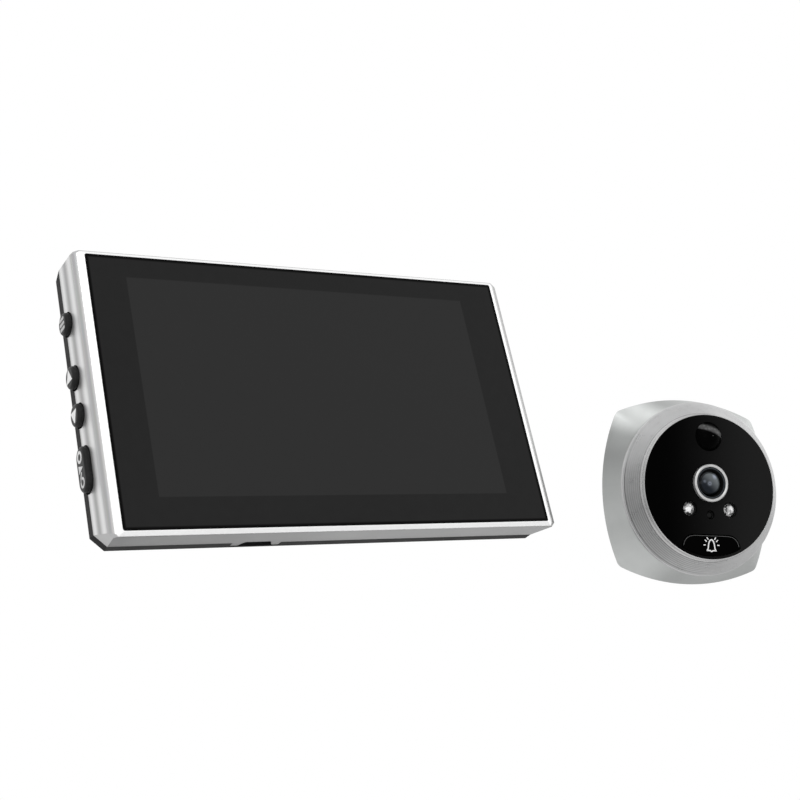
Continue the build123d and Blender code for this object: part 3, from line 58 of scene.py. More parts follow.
# %% Place the camera
CAMERA_PLACE = (-0.20003, -0.34223, -0.15851)
camera_right = Vector((0.8518, -0.4841, -0.2002))
camera_up = Vector((-0.0241, -0.4180, 0.9081))
camera_back = camera_right.cross(camera_up)
camera_data = bpy.data.cameras.new("photo_camera")
camera_data.sensor_width = 36.0
camera_data.lens = 66.507
camera_data.clip_start, camera_data.clip_end = 0.01, 50.0
camera = bpy.data.objects.new("photo_camera", camera_data)
scene = bpy.context.scene
scene.collection.objects.link(camera)
camera_turn = Matrix((camera_right, camera_up, camera_back)).transposed().to_4x4()
camera.matrix_world = Matrix.Translation(CAMERA_PLACE) @ camera_turn
scene.camera = camera
print("camera stands at", [round(v, 3) for v in camera.location])

# %% [markdown]
# ## Helpers for node trees
# The world and every material are trees of nodes. A node's input either holds a plain value or is
# joined to what another node gives. In the helpers below both are written in the same way, so a
# tree reads like a sum: each line takes what the lines above it gave.

# %% Add and fill nodes


def set_inputs(tree, node, values):
    """Gives a node's inputs their values; what another node gives is joined instead."""
    for label, value in values.items():
        if isinstance(value, bpy.types.NodeSocket):
            tree.links.new(value, node.inputs[label])
        else:
            node.inputs[label].default_value = value


def add_node(tree, kind, values=None, **settings):
    """Adds a node, sets its properties, then fills its inputs."""
    node = tree.nodes.new(kind)
    for label, value in settings.items():
        setattr(node, label, value)
    set_inputs(tree, node, values or {})
    return node


def number(tree, operation, *values):
    """A sum on numbers."""
    node = add_node(tree, "ShaderNodeMath", dict(enumerate(values)), operation=operation)
    return node.outputs[0]


def vector(tree, operation, *values):
    """A sum on vectors, which gives a vector or, for some operations, one number."""
    node = add_node(tree, "ShaderNodeVectorMath", dict(enumerate(values)), operation=operation)
    gives_number = operation in ("DOT_PRODUCT", "LENGTH", "DISTANCE")
    return node.outputs["Value" if gives_number else "Vector"]


print("node helpers ready")

# %% [markdown]
# ## The studio
# The picture is a plain product shot on white. The world is white wherever the camera, a
# reflection or a glass sees it, and gives a calmer level to matt surfaces. That keeps the
# background white without flooding the object with light.

# %% Light the world
DIFFUSE_LEVEL = 0.82
WHITE = (1.0, 1.0, 1.0, 1.0)
scene.view_settings.view_transform = "Standard"
world = bpy.data.worlds.new("white_studio")
scene.world = world
world.use_nodes = True
sky = world.node_tree
sky.nodes.clear()
ray = add_node(sky, "ShaderNodeLightPath").outputs
seen_or_gloss = number(sky, "MAXIMUM", ray["Is Camera Ray"], ray["Is Glossy Ray"])
seen_at_all = number(sky, "MAXIMUM", seen_or_gloss, ray["Is Transmission Ray"])
soft_light, plain_white = [
    add_node(sky, "ShaderNodeBackground", {"Color": WHITE, "Strength": level}).outputs[0]
    for level in (DIFFUSE_LEVEL, 1.0)]
studio = add_node(sky, "ShaderNodeMixShader",
                  {"Fac": seen_at_all, 1: soft_light, 2: plain_white}).outputs[0]
add_node(sky, "ShaderNodeOutputWorld", {"Surface": studio})
print("world level for matt surfaces:", DIFFUSE_LEVEL)

# %% [markdown]
# Three large area lamps shape the object: a key from the upper left, where the photograph has
# its highlights, a weaker one from the right and a low one that lights the faces which look
# down. Large lamps give soft edges.

# %% Hang the lamps
OBJECT_CENTRE = Vector((0.045, 0.0, -0.01))


def hang_lamp(name, place, size, power):
    """A square area lamp at a place, facing the object."""
    data = bpy.data.lights.new(name, "AREA")
    data.size, data.energy = size, power
    lamp = bpy.data.objects.new(name, data)
    scene.collection.objects.link(lamp)
    lamp.location = place
    aim = OBJECT_CENTRE - Vector(place)
    lamp.rotation_euler = aim.to_track_quat("-Z", "Y").to_euler()


hang_lamp("key_lamp", (-0.45, -0.8, 0.7), 0.6, 1.6)
hang_lamp("fill_lamp", (0.95, -0.35, 0.15), 0.7, 0.7)
hang_lamp("low_lamp", (-0.5, -0.8, -0.15), 0.4, 0.9)
print("lamps hung")

# %% [markdown]
# ## Helpers for materials
# Most patterns come down to a few steps: a range is stretched over another, two colours are
# mixed by an amount, and a ramp turns a place into a level of grey.

# %% Ranges, mixes and ramps


def grey(level, warm=0.0):
    """A colour of one level, a little warmer or cooler."""
    return (level * (1 + warm), level, level * (1 - warm), 1.0)


def remap(tree, value, start, end, low=0.0, high=1.0, **settings):
    """Stretches the range from start to end over the one from low to high."""
    node = add_node(tree, "ShaderNodeMapRange",
                    {"Value": value, "From Min": start, "From Max": end, "To Min": low,
                     "To Max": high}, **settings)
    return node.outputs["Result"]


def mix(tree, amount, first, second, way="MIX"):
    """Mixes two colours by an amount."""
    node = add_node(tree, "ShaderNodeMix", {"Factor": amount, "A": first, "B": second},
                    data_type="RGBA", blend_type=way)
    return node.outputs["Result"]


def split(tree, value):
    """The X, Y and Z of a vector."""
    return add_node(tree, "ShaderNodeSeparateXYZ", {"Vector": value}).outputs


def noise(tree, where, scale, detail, gives="Fac"):
    """A cloudy noise."""
    node = add_node(tree, "ShaderNodeTexNoise",
                    {"Vector": where, "Scale": scale, "Detail": detail})
    return node.outputs[gives]


def level_ramp(tree, place, levels, way="EASE"):
    """A ramp of greys, given as (place, level) from 0 to 1, read at a place."""
    node = add_node(tree, "ShaderNodeValToRGB", {"Fac": place})
    node.color_ramp.interpolation = way
    stops = node.color_ramp.elements
    stops[0].color, stops[1].color = grey(levels[0][1]), grey(levels[-1][1])
    for stop, level in levels[1:-1]:
        stops.new(stop).color = grey(level)
    return node.outputs["Color"]


print("material helpers ready")

# %% [markdown]
# What several finishes share is a node group. It is built once, with named sockets, and each
# material places it with its own values.

# %% Node groups


def new_group(name, takes, gives):
    """A shader node group with named sockets: (group, what it takes, its output node)."""
    group = bpy.data.node_groups.new(name, "ShaderNodeTree")
    for label, kind, value in takes:
        socket = group.interface.new_socket(label, in_out="INPUT",
                                            socket_type="NodeSocket" + kind)
        if value is not None:
            socket.default_value = value
    for label, kind in gives:
        group.interface.new_socket(label, in_out="OUTPUT", socket_type="NodeSocket" + kind)
    taken = group.nodes.new("NodeGroupInput").outputs
    return group, taken, group.nodes.new("NodeGroupOutput")


def use_group(tree, group, **values):
    """Places a node group in a material; gives what it puts out."""
    return add_node(tree, "ShaderNodeGroup", values, node_tree=group).outputs


print("group helpers ready")

# %% [markdown]
# ## Effects that several finishes share
# Moulded plastic, paint and metal are never one flat colour. The grain group mixes a fine noise
# with a broad one, and gives a colour, a roughness and a height. It could be painted by hand on
# an image, but a noise has no seams and works at any distance.

# %% The grain group
NOISE_LOW, NOISE_HIGH = 0.35, 0.65  # a noise stays near its middle, so that part is stretched
BROAD_RATIO, BROAD_WEIGHT = 0.04, 0.55
grain, taken, given = new_group(
    "grain",
    [("Vector", "Vector", None), ("Size", "Float", 1500.0), ("Dark", "Color", grey(0.3)),
     ("Light", "Color", grey(0.5)), ("Smooth", "Float", 0.3), ("Rough", "Float", 0.5)],
    [("Colour", "Color"), ("Roughness", "Float"), ("Height", "Float")])
fine = noise(grain, taken["Vector"], taken["Size"], 3.0)
broad_size = number(grain, "MULTIPLY", taken["Size"], BROAD_RATIO)
broad = noise(grain, taken["Vector"], broad_size, 2.0)
mottle = add_node(grain, "ShaderNodeMix",
                  {"Factor": BROAD_WEIGHT, "A": fine, "B": broad}).outputs["Result"]
spread = remap(grain, mottle, NOISE_LOW, NOISE_HIGH)
shine = remap(grain, mottle, NOISE_LOW, NOISE_HIGH, taken["Smooth"], taken["Rough"])
set_inputs(grain, given, {"Colour": mix(grain, spread, taken["Dark"], taken["Light"]),
                          "Roughness": shine, "Height": fine})
print("grain group:", len(grain.nodes), "nodes")

# %% [markdown]
# Handled edges are a little brighter, where paint thins or plastic is polished. The Bevel node
# looks round each point and gives a rounded normal, which differs from the flat one only near an
# edge. That difference, broken up by a noise, is the wear mask. It also gives the rounded normal,
# so the sharp edges of the CAD solids catch the light as moulded ones do.

# %% The edge wear group
FLAT, ROUNDED = 0.995, 0.8  # how far the rounded normal agrees with the flat one
PATCH_SCALE, PATCH_LOW, PATCH_HIGH = 700.0, 0.3, 0.7
worn, taken, given = new_group(
    "edge_wear", [("Vector", "Vector", None), ("Radius", "Float", 0.0002)],
    [("Mask", "Float"), ("Normal", "Vector")])
rounded = add_node(worn, "ShaderNodeBevel", {"Radius": taken["Radius"]},
                   samples=4).outputs["Normal"]
surface = add_node(worn, "ShaderNodeNewGeometry").outputs["Normal"]
near_edge = remap(worn, vector(worn, "DOT_PRODUCT", rounded, surface), FLAT, ROUNDED)
patches = noise(worn, taken["Vector"], PATCH_SCALE, 4.0)
patchy = remap(worn, patches, PATCH_LOW, PATCH_HIGH)
set_inputs(worn, given, {"Mask": number(worn, "MULTIPLY", near_edge, patchy),
                         "Normal": rounded})
print("edge wear group:", len(worn.nodes), "nodes")

# %% [markdown]
# Turned metal has fine rings, all round one axis. In coordinates that are centred on that axis,
# the distance from it is a length of X and Z, and a sine of that length gives even grooves. A
# one-dimensional noise of the same length makes some rings brighter, as a cutting tool does.

# %% The turned lines group
ACROSS_AXIS = (1.0, 0.0, 1.0)
turned, taken, given = new_group(
    "turned_lines",
    [("Vector", "Vector", None), ("Pitch", "Float", 0.0003), ("Bands", "Float", 2500.0)],
    [("Height", "Float"), ("Band", "Float")])
reach = vector(turned, "LENGTH", vector(turned, "MULTIPLY", taken["Vector"], ACROSS_AXIS))
count = number(turned, "DIVIDE", reach, taken["Pitch"])
wave = number(turned, "SINE", number(turned, "MULTIPLY", count, 2 * pi))
rings = add_node(turned, "ShaderNodeTexNoise",
                 {"W": reach, "Scale": taken["Bands"], "Detail": 2.0}, noise_dimensions="1D")
set_inputs(turned, given, {"Height": wave, "Band": rings.outputs["Fac"]})
print("turned lines group:", len(turned.nodes), "nodes")

# %% [markdown]
# The housing and the turned rings get painted light and shade in wedges round the unit's axis,
# as satin metal catches the light: the painted level changes with the angle round the axis. This
# group gives that angle as a share of one turn, from 0 at the left, over 0.25 at the bottom and
# 0.5 at the right to 0.75 at the top.

# %% The turn angle group
spindle, taken, given = new_group(
    "spindle_angle", [("Vector", "Vector", None)], [("Share", "Float")])
axes = split(spindle, taken["Vector"])
bearing = number(spindle, "ARCTAN2", axes["Z"], axes["X"])
set_inputs(spindle, given, {"Share": remap(spindle, bearing, -pi, pi)})
print("turn angle group:", len(spindle.nodes), "nodes")

# %% [markdown]
# ## A common base for the finishes
# Nearly every surface here is grain plus worn edges plus a small bump. One function builds that
# and takes the values of each finish: two levels, a range of roughness, the size of the grain
# and how far the edges are rounded and worn.

# %% Build a grained finish
RELIEF_DEPTH = 0.0001


def grained(name, dark, light, rough, size=1500.0, bump=0.05, edge=0.0002, wear=0.15,
            wear_colour=None, **plain):
    """Grain, worn edges and bump on a Principled shader: (material, tree, shader, where)."""
    material = bpy.data.materials.new(name)
    material.use_nodes = True
    tree = material.node_tree
    shader = tree.nodes["Principled BSDF"]
    where = add_node(tree, "ShaderNodeTexCoord").outputs["Object"]
    speckle = use_group(tree, grain, Vector=where, Size=size, Dark=dark, Light=light,
                        Smooth=rough[0], Rough=rough[1])
    edges = use_group(tree, worn, Vector=where, Radius=edge)
    amount = number(tree, "MULTIPLY", edges["Mask"], wear)
    polished = wear_colour or grey(min(1.0, light[0] * 1.5))
    relief = add_node(tree, "ShaderNodeBump",
                      {"Strength": bump, "Distance": RELIEF_DEPTH,
                       "Height": speckle["Height"], "Normal": edges["Normal"]})
    set_inputs(tree, shader, {"Base Color": mix(tree, amount, speckle["Colour"], polished),
                              "Roughness": speckle["Roughness"],
                              "Normal": relief.outputs["Normal"]})
    set_inputs(tree, shader, {label.replace("_", " "): value for label, value in plain.items()})
    return material, tree, shader, where


print("base finish ready")

# %% [markdown]
# A special finish lays colours over that base by a mask, or presses a relief into it. Each takes
# what the shader has so far, so they can follow each other in any number. A finished material
# then goes into the slots that the CAD nodes already have.

# %% Lay over, press in and dress


def so_far(shader, label):
    """What feeds an input of the shader at this point."""
    return shader.inputs[label].links[0].from_socket


def lay_over(tree, shader, amount, colour, way="MIX"):
    """Lays a colour over the finish by an amount."""
    base = so_far(shader, "Base Color")
    set_inputs(tree, shader, {"Base Color": mix(tree, amount, base, colour, way)})


def press_in(tree, shader, height, strength, depth=RELIEF_DEPTH):
    """Presses a relief into the finish, on top of the one it has."""
    relief = add_node(tree, "ShaderNodeBump",
                      {"Strength": strength, "Distance": depth, "Height": height,
                       "Normal": so_far(shader, "Normal")})
    set_inputs(tree, shader, {"Normal": relief.outputs["Normal"]})


def dress(material, *names):
    """Gives CAD nodes a material, in their own material slots."""
    for name in names:
        mesh = nodes[name].data
        if not mesh.materials:
            mesh.materials.append(material)
        for place in range(len(mesh.materials)):
            mesh.materials[place] = material
    print(material.name, "on", ", ".join(names))


print("finishing helpers ready")

# %% [markdown]
# ## The camera unit's own directions
# The outdoor unit stands turned beside the monitor. Its patterns and marks are worked out in its
# own directions: X to its right, Z up its face, Y into the door. One matrix turns them into the
# row's frame, and its inverse, on a Mapping node, centres a pattern on the unit's axis.

# %% The unit's frame
unit_across = Vector((0.971608, -0.195964, -0.132573))
unit_inward = Vector((0.225171, 0.937907, 0.263873))
unit_upward = Vector((0.072632, -0.286233, 0.955403))
unit_centre = Vector((0.1433, -0.00457, -0.02546))
unit_frame = Matrix((unit_across, unit_inward, unit_upward)).transposed().to_4x4()
unit_frame.translation = unit_centre
to_unit = unit_frame.inverted()


def centre_on_unit(tree, where):
    """Coordinates in the unit's own directions, centred on its axis."""
    node = add_node(tree, "ShaderNodeMapping",
                    {"Vector": where, "Location": to_unit.translation,
                     "Rotation": to_unit.to_euler()})
    return node.outputs["Vector"]


def levels_round_axis(tree, centred, levels):
    """Levels round the unit's axis, given as (share of a turn, level)."""
    return level_ramp(tree, use_group(tree, spindle, Vector=centred)["Share"], levels)


print("unit stands at", [round(v, 4) for v in unit_centre])

# %% [markdown]
# ## The monitor's black glass
# The front is one sheet of glass, printed black behind, with a window for the display that is a
# shade lighter and a deeper black line round its edge. Both are worked out from the place on the
# glass: how far a point lies outside a rectangle. The glass stays opaque, because nothing behind
# the print shows. A faint smear in the roughness keeps the reflections from being perfect.

# %% Finish the display glass
WINDOW_CENTRE, WINDOW_HALF = (-0.0009, 0.0, 0.0012), (0.0542, 0.0, 0.0318)
WINDOW_BLUR, WINDOW_GREY = 0.00012, grey(0.0262)
LINE_WIDTH, LINE_BLUR, LINE_BLACK = 0.0008, 0.00025, grey(0.0006)


def black_glass(name, level, mirroring):
    """Dark glossy glass of one level; mirroring is the strength of its reflections."""
    return grained(name, grey(level * 0.9), grey(level), (0.05, 0.12), size=300.0,
                   bump=0.004, edge=0.00015, wear=0.3, wear_colour=grey(level * 1.6),
                   Specular_IOR_Level=mirroring)


def outside_rectangle(tree, where, centre, half):
    """How far a point lies outside a rectangle in X and Z; below 0 is inside."""
    from_centre = vector(tree, "ABSOLUTE", vector(tree, "SUBTRACT", where, centre))
    beyond = split(tree, vector(tree, "SUBTRACT", from_centre, half))
    return number(tree, "MAXIMUM", beyond["X"], beyond["Z"])


glass_low, glass_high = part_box("front_glass")
glass_half = (glass_high - glass_low) / 2
inner_half = (glass_half.x - LINE_WIDTH, 0.0, glass_half.z - LINE_WIDTH)
material, tree, shader, where = black_glass("display_black_glass", 0.0185, 0.05)
past_window = outside_rectangle(tree, where, WINDOW_CENTRE, WINDOW_HALF)
lay_over(tree, shader, remap(tree, past_window, WINDOW_BLUR, -WINDOW_BLUR), WINDOW_GREY)
past_line = outside_rectangle(tree, where, (glass_low + glass_high) / 2, inner_half)
lay_over(tree, shader, remap(tree, past_line, -LINE_BLUR, LINE_BLUR), LINE_BLACK)
dress(material, "front_glass")

# %% [markdown]
# ## The bright rim
# A thin plated frame holds the glass. It is the brightest line of the monitor. Bright plating is
# a metal with low roughness, and a paler base, so the white studio shows in it. Painted shade
# darkens its outer edge at the right and along the top.

# %% Finish the rim
RIM_PAINTED_SHADE = grey(0.50)
RIGHT_START, RIGHT_FULL = 0.0012, 0.0008  # metres in from the rim's outer edge
TOP_START, TOP_FULL = 0.0006, 0.0001
material, tree, shader, where = grained(
    "bright_plating", grey(0.94), grey(0.99), (0.16, 0.26), size=900.0, bump=0.01,
    edge=0.0002, wear=0.4, wear_colour=grey(0.98), Metallic=0.9)
rim_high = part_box("front_rim")[1]
axes = split(tree, where)
# Painted shade: the rim's outer edge is darkened at the right and along the top.
right_part = remap(tree, axes["X"], rim_high.x - RIGHT_START, rim_high.x - RIGHT_FULL)
top_part = remap(tree, axes["Z"], rim_high.z - TOP_START, rim_high.z - TOP_FULL)
lay_over(tree, shader, number(tree, "MAXIMUM", right_part, top_part), RIM_PAINTED_SHADE)
dress(material, "front_rim")
print("rim from x", round(glass_high.x, 5), "to", round(rim_high.x, 5))

# %% [markdown]
# ## The silver band
# The band round the monitor is satin silver, with fine hairlines over all of it. Along its two
# short sides lie broad soft streaks of painted reflection that follow the band. The streaks only
# depend on how deep a point lies, so a colour ramp along Y makes them, and the surface's own
# direction keeps them off the long sides and the corner facets. Those are an even silver with
# painted light and shade: the facets lighter, the long sides darker and darkest at the left end.

# %% Finish the band
PAINTED_REFLECTION_STREAKS = [(0.0, 0.56), (0.05, 0.36), (0.11, 0.50), (0.24, 0.72), (0.40, 0.60),
           (0.55, 0.35), (0.68, 0.48), (0.82, 0.72), (0.93, 0.62), (1.0, 0.42)]
BAND_FRONT, BAND_BACK = -0.0130, -0.0032
LEFT_END, MIDDLE = -0.075, 0.0
LEFT_LEVEL, MIDDLE_LEVEL, FACET_LEVEL = 0.44, 0.90, 1.5
FACET_LEAN, LONG_SIDE_LEAN = 0.80, 0.97  # how far a face looks up or down
REFLECTION_STREAKS_END, REFLECTION_STREAKS_FULL = 0.45, 0.15
ALONG_THE_BAND, HAIR_SCALE, HAIR_STRENGTH = (0.01, 1.0, 0.01), 9000.0, 0.18
material, tree, shader, where = grained(
    "satin_silver_band", grey(0.30), grey(0.34), (0.30, 0.40), size=2200.0, bump=0.03,
    edge=0.00025, wear=0.2, wear_colour=grey(0.6), Metallic=0.7)
axes = split(tree, where)
facing = split(tree, add_node(tree, "ShaderNodeNewGeometry").outputs["Normal"])
up_or_down = number(tree, "ABSOLUTE", facing["Z"])
# Painted light and shade: corner facets lighter, long sides darker and darkest at the left end.
painted_shade_along_width = remap(tree, axes["X"], LEFT_END, MIDDLE, LEFT_LEVEL, MIDDLE_LEVEL)
painted_side_shade = remap(tree, up_or_down, FACET_LEAN, LONG_SIDE_LEAN, FACET_LEVEL, painted_shade_along_width)
lay_over(tree, shader, 1.0, painted_side_shade, "MULTIPLY")
# Painted reflections: broad streaks along the short sides, set by depth.
depth = remap(tree, axes["Y"], BAND_FRONT, BAND_BACK)
on_short_side = remap(tree, up_or_down, REFLECTION_STREAKS_END, REFLECTION_STREAKS_FULL)
lay_over(tree, shader, on_short_side, level_ramp(tree, depth, PAINTED_REFLECTION_STREAKS, "CARDINAL"))
stretched = add_node(tree, "ShaderNodeMapping", {"Vector": where, "Scale": ALONG_THE_BAND})
hairlines = noise(tree, stretched.outputs["Vector"], HAIR_SCALE, 2.0, "Color")
lay_over(tree, shader, HAIR_STRENGTH, hairlines, "SOFT_LIGHT")
dress(material, "side_band")

# %% [markdown]
# ## Moulded plastics and rubber
# The back cover is a dark, finely spark-eroded plastic. The keys are the same plastic, polished.
# The gasket under the outdoor unit is dull rubber. They differ in level, roughness and the size
# of their grain, so each is one call with its own values.

# %% Finish the outer plastics
dress(grained("dark_cover_plastic", grey(0.008), grey(0.018), (0.42, 0.60), size=2600.0,
              bump=0.35, edge=0.0003, wear=0.4, wear_colour=grey(0.06),
              Specular_IOR_Level=0.10)[0], "back_cover")
dress(grained("polished_key_plastic", grey(0.009), grey(0.018), (0.3, 0.45), size=1800.0,
              edge=0.0003, wear=0.4, wear_colour=grey(0.09), Specular_IOR_Level=0.14)[0],
      "menu_button", "up_button", "down_button", "function_button")
dress(grained("gasket_rubber", grey(0.022), grey(0.04), (0.7, 0.9), size=900.0, bump=0.4,
              wear=0.3)[0], "door_gasket")

# %% [markdown]
# Inside, the carriers, the switches and the speaker are matt black, and the sockets for the cable
# are ivory, as such connectors usually are.

# %% Finish the inner plastics
dress(grained("matt_carrier_plastic", grey(0.018), grey(0.03), (0.5, 0.7), size=2000.0,
              bump=0.25)[0], "front_carrier", "back_plate")
dress(grained("switch_plastic", grey(0.05), grey(0.08), (0.5, 0.65))[0], "side_switches",
      "doorbell_switch", "image_sensor", "menu_plunger", "up_plunger", "down_plunger",
      "function_plunger", "doorbell_plunger")
dress(grained("speaker_black", grey(0.03), grey(0.05), (0.6, 0.8), size=1200.0,
              bump=0.4)[0], "speaker")
dress(grained("socket_ivory", grey(0.70, 0.04), grey(0.82, 0.04), (0.4, 0.55))[0],
      "camera_socket", "unit_socket")

# %% [markdown]
# ## Steel, foil, boards and display parts
# These sit inside the housings and show when the object is taken apart. The bracket and the
# screws are zinc-plated steel, whose spangle is a Voronoi pattern in the roughness.

# %% Finish the metals
SPANGLE_SCALE, SPANGLE_SMOOTH, SPANGLE_ROUGH = 260.0, 0.22, 0.42
material, tree, shader, where = grained(
    "zinc_plated_steel", grey(0.50, 0.01), grey(0.62, 0.01), (0.25, 0.4), size=500.0,
    bump=0.03, edge=0.0002, wear=0.4, wear_colour=grey(0.85), Metallic=1.0)
spangle = add_node(tree, "ShaderNodeTexVoronoi", {"Vector": where, "Scale": SPANGLE_SCALE})
dullness = remap(tree, spangle.outputs["Color"], 0.0, 1.0, SPANGLE_SMOOTH, SPANGLE_ROUGH)
set_inputs(tree, shader, {"Roughness": dullness})
dress(material, "door_bracket", "cover_screws", "board_screws", "plate_screws",
      "charging_port", "processor_shield", "pir_sensor")
dress(grained("display_sheet_metal", grey(0.60), grey(0.70), (0.3, 0.45), Metallic=1.0)[0],
      "backlight")
dress(grained("battery_foil", grey(0.5), grey(0.62), (0.3, 0.5), size=200.0, bump=0.2,
              Metallic=0.8)[0], "battery")

# %% [markdown]
# The circuit boards are green lacquer over copper tracks, drawn by a brick pattern that lifts
# the colour a little. A Mapping node lays the pattern flat on the boards, which stand upright.

# %% Finish the boards and the display's layers
TRACK_GREEN, TRACK_SCALE, TRACK_WIDTH = (0.05, 0.26, 0.11, 1), 260.0, 0.06
UPRIGHT = (radians(90), 0, 0)
material, tree, shader, where = grained(
    "green_board", (0.01, 0.10, 0.04, 1), (0.02, 0.15, 0.06, 1), (0.3, 0.45))
laid = add_node(tree, "ShaderNodeMapping", {"Vector": where, "Rotation": UPRIGHT})
tracks = add_node(tree, "ShaderNodeTexBrick", {"Vector": laid.outputs["Vector"],
                                               "Scale": TRACK_SCALE,
                                               "Mortar Size": TRACK_WIDTH})
lacquered = mix(tree, tracks.outputs["Fac"], TRACK_GREEN, so_far(shader, "Base Color"))
set_inputs(tree, shader, {"Base Color": lacquered})
dress(material, "main_board", "button_board", "unit_board")
dress(grained("display_layer_glass", grey(0.03), grey(0.04), (0.05, 0.15), bump=0.01)[0],
      "lcd_panel")
dress(grained("amber_ribbon", (0.42, 0.20, 0.03, 1), (0.55, 0.28, 0.05, 1),
              (0.3, 0.45))[0], "display_ribbon")

# %% [markdown]
# ## The unit's housing
# The housing is painted a satin grey silver with a fine metallic grain. Painted light and shade
# lie over it in wedges round its axis: a painted highlight towards its upper left corner, painted
# shade below it and softer ones all round.

# %% Finish the housing
BODY_PAINTED_LIGHT = [(0.0, 0.46), (0.06, 0.57), (0.15, 0.71), (0.22, 0.48), (0.32, 0.48),
               (0.42, 0.55), (0.50, 0.65), (0.62, 0.74), (0.72, 0.64), (0.80, 0.50),
               (0.846, 0.92), (0.875, 0.76), (0.91, 0.44), (0.945, 0.36), (1.0, 0.45)]
material, tree, shader, where = grained(
    "satin_grey_silver", (0.77, 0.79, 0.78, 1), (0.81, 0.83, 0.82, 1), (0.40, 0.46),
    size=9000.0, bump=0.02, edge=0.0, wear=0.0, Metallic=0.72)
# Painted light and shade in wedges round the unit's axis: a highlight at the upper left, shade
# below it.
painted_light_wedges = levels_round_axis(tree, centre_on_unit(tree, where), BODY_PAINTED_LIGHT)
lay_over(tree, shader, 1.0, painted_light_wedges, "MULTIPLY")
dress(material, "unit_body")

# %% [markdown]
# ## The turned rings
# Three rings of the unit come from a lathe. Their tool lines run round the unit's axis. One
# function makes such a metal: the lines are pressed in, painted shade darkens the colour in their
# grooves, strongest at the lower left and fading elsewhere, and wedges of painted light and shade
# can lie over them.

# %% Build a turned finish
GROOVE_SHADE_ROUND_AXIS = [(0.0, 0.6), (0.07, 1.0), (0.20, 1.0), (0.28, 0.25), (0.75, 0.1),
                 (0.92, 0.1), (1.0, 0.6)]
LATHE_GRAIN, BAND_SIZE, BAND_STRENGTH = 7000.0, 2500.0, 0.4
LINE_DEPTH = 0.00005
VALLEY, RIDGE = -0.9, 0.1  # heights of the sine at which a groove ends and a ridge starts


def lathe_finish(name, dark, light, rough, pitch, bump, groove=1.0, painted_light_wedges=None, edge=0.0,
                 wear=0.0, **plain):
    """A metal with turned lines round the unit's axis; groove is the level of painted shade in the
    grooves.
    """
    material, tree, shader, where = grained(
        name, dark, light, rough, size=LATHE_GRAIN, edge=edge, wear=wear,
        wear_colour=grey(0.95), **plain)
    centred = centre_on_unit(tree, where)
    lines = use_group(tree, turned, Vector=centred, Pitch=pitch, Bands=BAND_SIZE)
    # Painted shade in the grooves between the turned lines; with wedges it fades away from the
    # lower left.
    painted_groove_shade = remap(tree, lines["Height"], VALLEY, RIDGE, groove, 1.0)
    if painted_light_wedges:
        strength = levels_round_axis(tree, centred, GROOVE_SHADE_ROUND_AXIS)
        painted_groove_shade = mix(tree, strength, grey(0.5 + groove / 2), painted_groove_shade)
    lay_over(tree, shader, BAND_STRENGTH, lines["Band"], "SOFT_LIGHT")
    lay_over(tree, shader, 1.0, painted_groove_shade, "MULTIPLY")
    # Wedges of painted light and shade round the axis.
    if painted_light_wedges:
        shades = levels_round_axis(tree, centred, painted_light_wedges)
        lay_over(tree, shader, 1.0, shades, "MULTIPLY")
    press_in(tree, shader, lines["Height"], bump, LINE_DEPTH)
    return material


print("turned finish ready")

# %% [markdown]
# The ring in front of the housing is plain turned aluminium, with painted light and shade in
# wedges round it. The narrow bezel ring is polished, with worn edges, and gets the same painted
# light with a painted highlight along the bottom. The lens ring has finer lines that hardly show.

# %% Finish the turned rings
RING_PITCH, LENS_RING_PITCH = 0.00048, 0.0002
# Painted light and shade round the ring, as (share of a turn, level).
RING_PAINTED_LIGHT = [(0.0, 0.58), (0.06, 0.54), (0.12, 0.60), (0.20, 0.68), (0.30, 0.66),
               (0.42, 0.75), (0.52, 1.0), (0.70, 1.0), (0.78, 0.84), (0.86, 0.90),
               (0.93, 0.76), (1.0, 0.58)]
# A painted highlight along the bottom of the bezel ring.
BOTTOM_START, BOTTOM_END, BOTTOM_PAINTED_HIGHLIGHT = 0.1, 0.4, 0.16
bezel_painted_light = [(share, level + BOTTOM_PAINTED_HIGHLIGHT if BOTTOM_START < share < BOTTOM_END else level)
                for share, level in RING_PAINTED_LIGHT]
dress(lathe_finish("turned_aluminium", grey(0.78, -0.003), grey(0.86, -0.003), (0.26, 0.36),
                   RING_PITCH, 0.35, groove=0.6, painted_light_wedges=RING_PAINTED_LIGHT, Metallic=0.85),
      "turned_ring")
dress(lathe_finish("bright_turned_edge", grey(0.66), grey(0.74), (0.2, 0.3), RING_PITCH, 0.2,
                   groove=0.7, painted_light_wedges=bezel_painted_light, edge=0.0002, wear=0.8, Metallic=0.85),
      "bezel_ring")
dress(lathe_finish("lens_ring_silver", grey(0.58), grey(0.66), (0.25, 0.35),
                   LENS_RING_PITCH, 0.1, Metallic=0.6), "lens_ring")

# %% [markdown]
# ## The unit's dark front
# The disc and the doorbell button are glossy black acrylic. A painted reflection makes the disc a
# little greyer towards its right.

# %% Finish the disc and the doorbell button
ACRYLIC_LEVEL = 0.0006
FADE_START, FADE_END, DISC_REFLECTION_GREY = -0.018, 0.020, grey(0.0135)
material, tree, shader, where = black_glass("black_acrylic", ACRYLIC_LEVEL, 0.010)
to_the_right = split(tree, centre_on_unit(tree, where))["X"]
# Painted reflection: the disc greyer towards its right.
painted_disc_reflection = remap(tree, to_the_right, FADE_START, FADE_END, interpolation_type="SMOOTHSTEP")
lay_over(tree, shader, painted_disc_reflection, DISC_REFLECTION_GREY)
dress(material, "front_disc")
dress(black_glass("bell_key_acrylic", ACRYLIC_LEVEL, 0.012)[0], "doorbell_button")

# %% [markdown]
# The motion sensor behind the small dome looks through black polythene with Fresnel facets. They
# show as a faint grid, pressed in as a bump. A painted sheen lies in a band where the dome leans
# up, broken up by the facets. A dot product of the surface's direction with that slope finds the
# band.

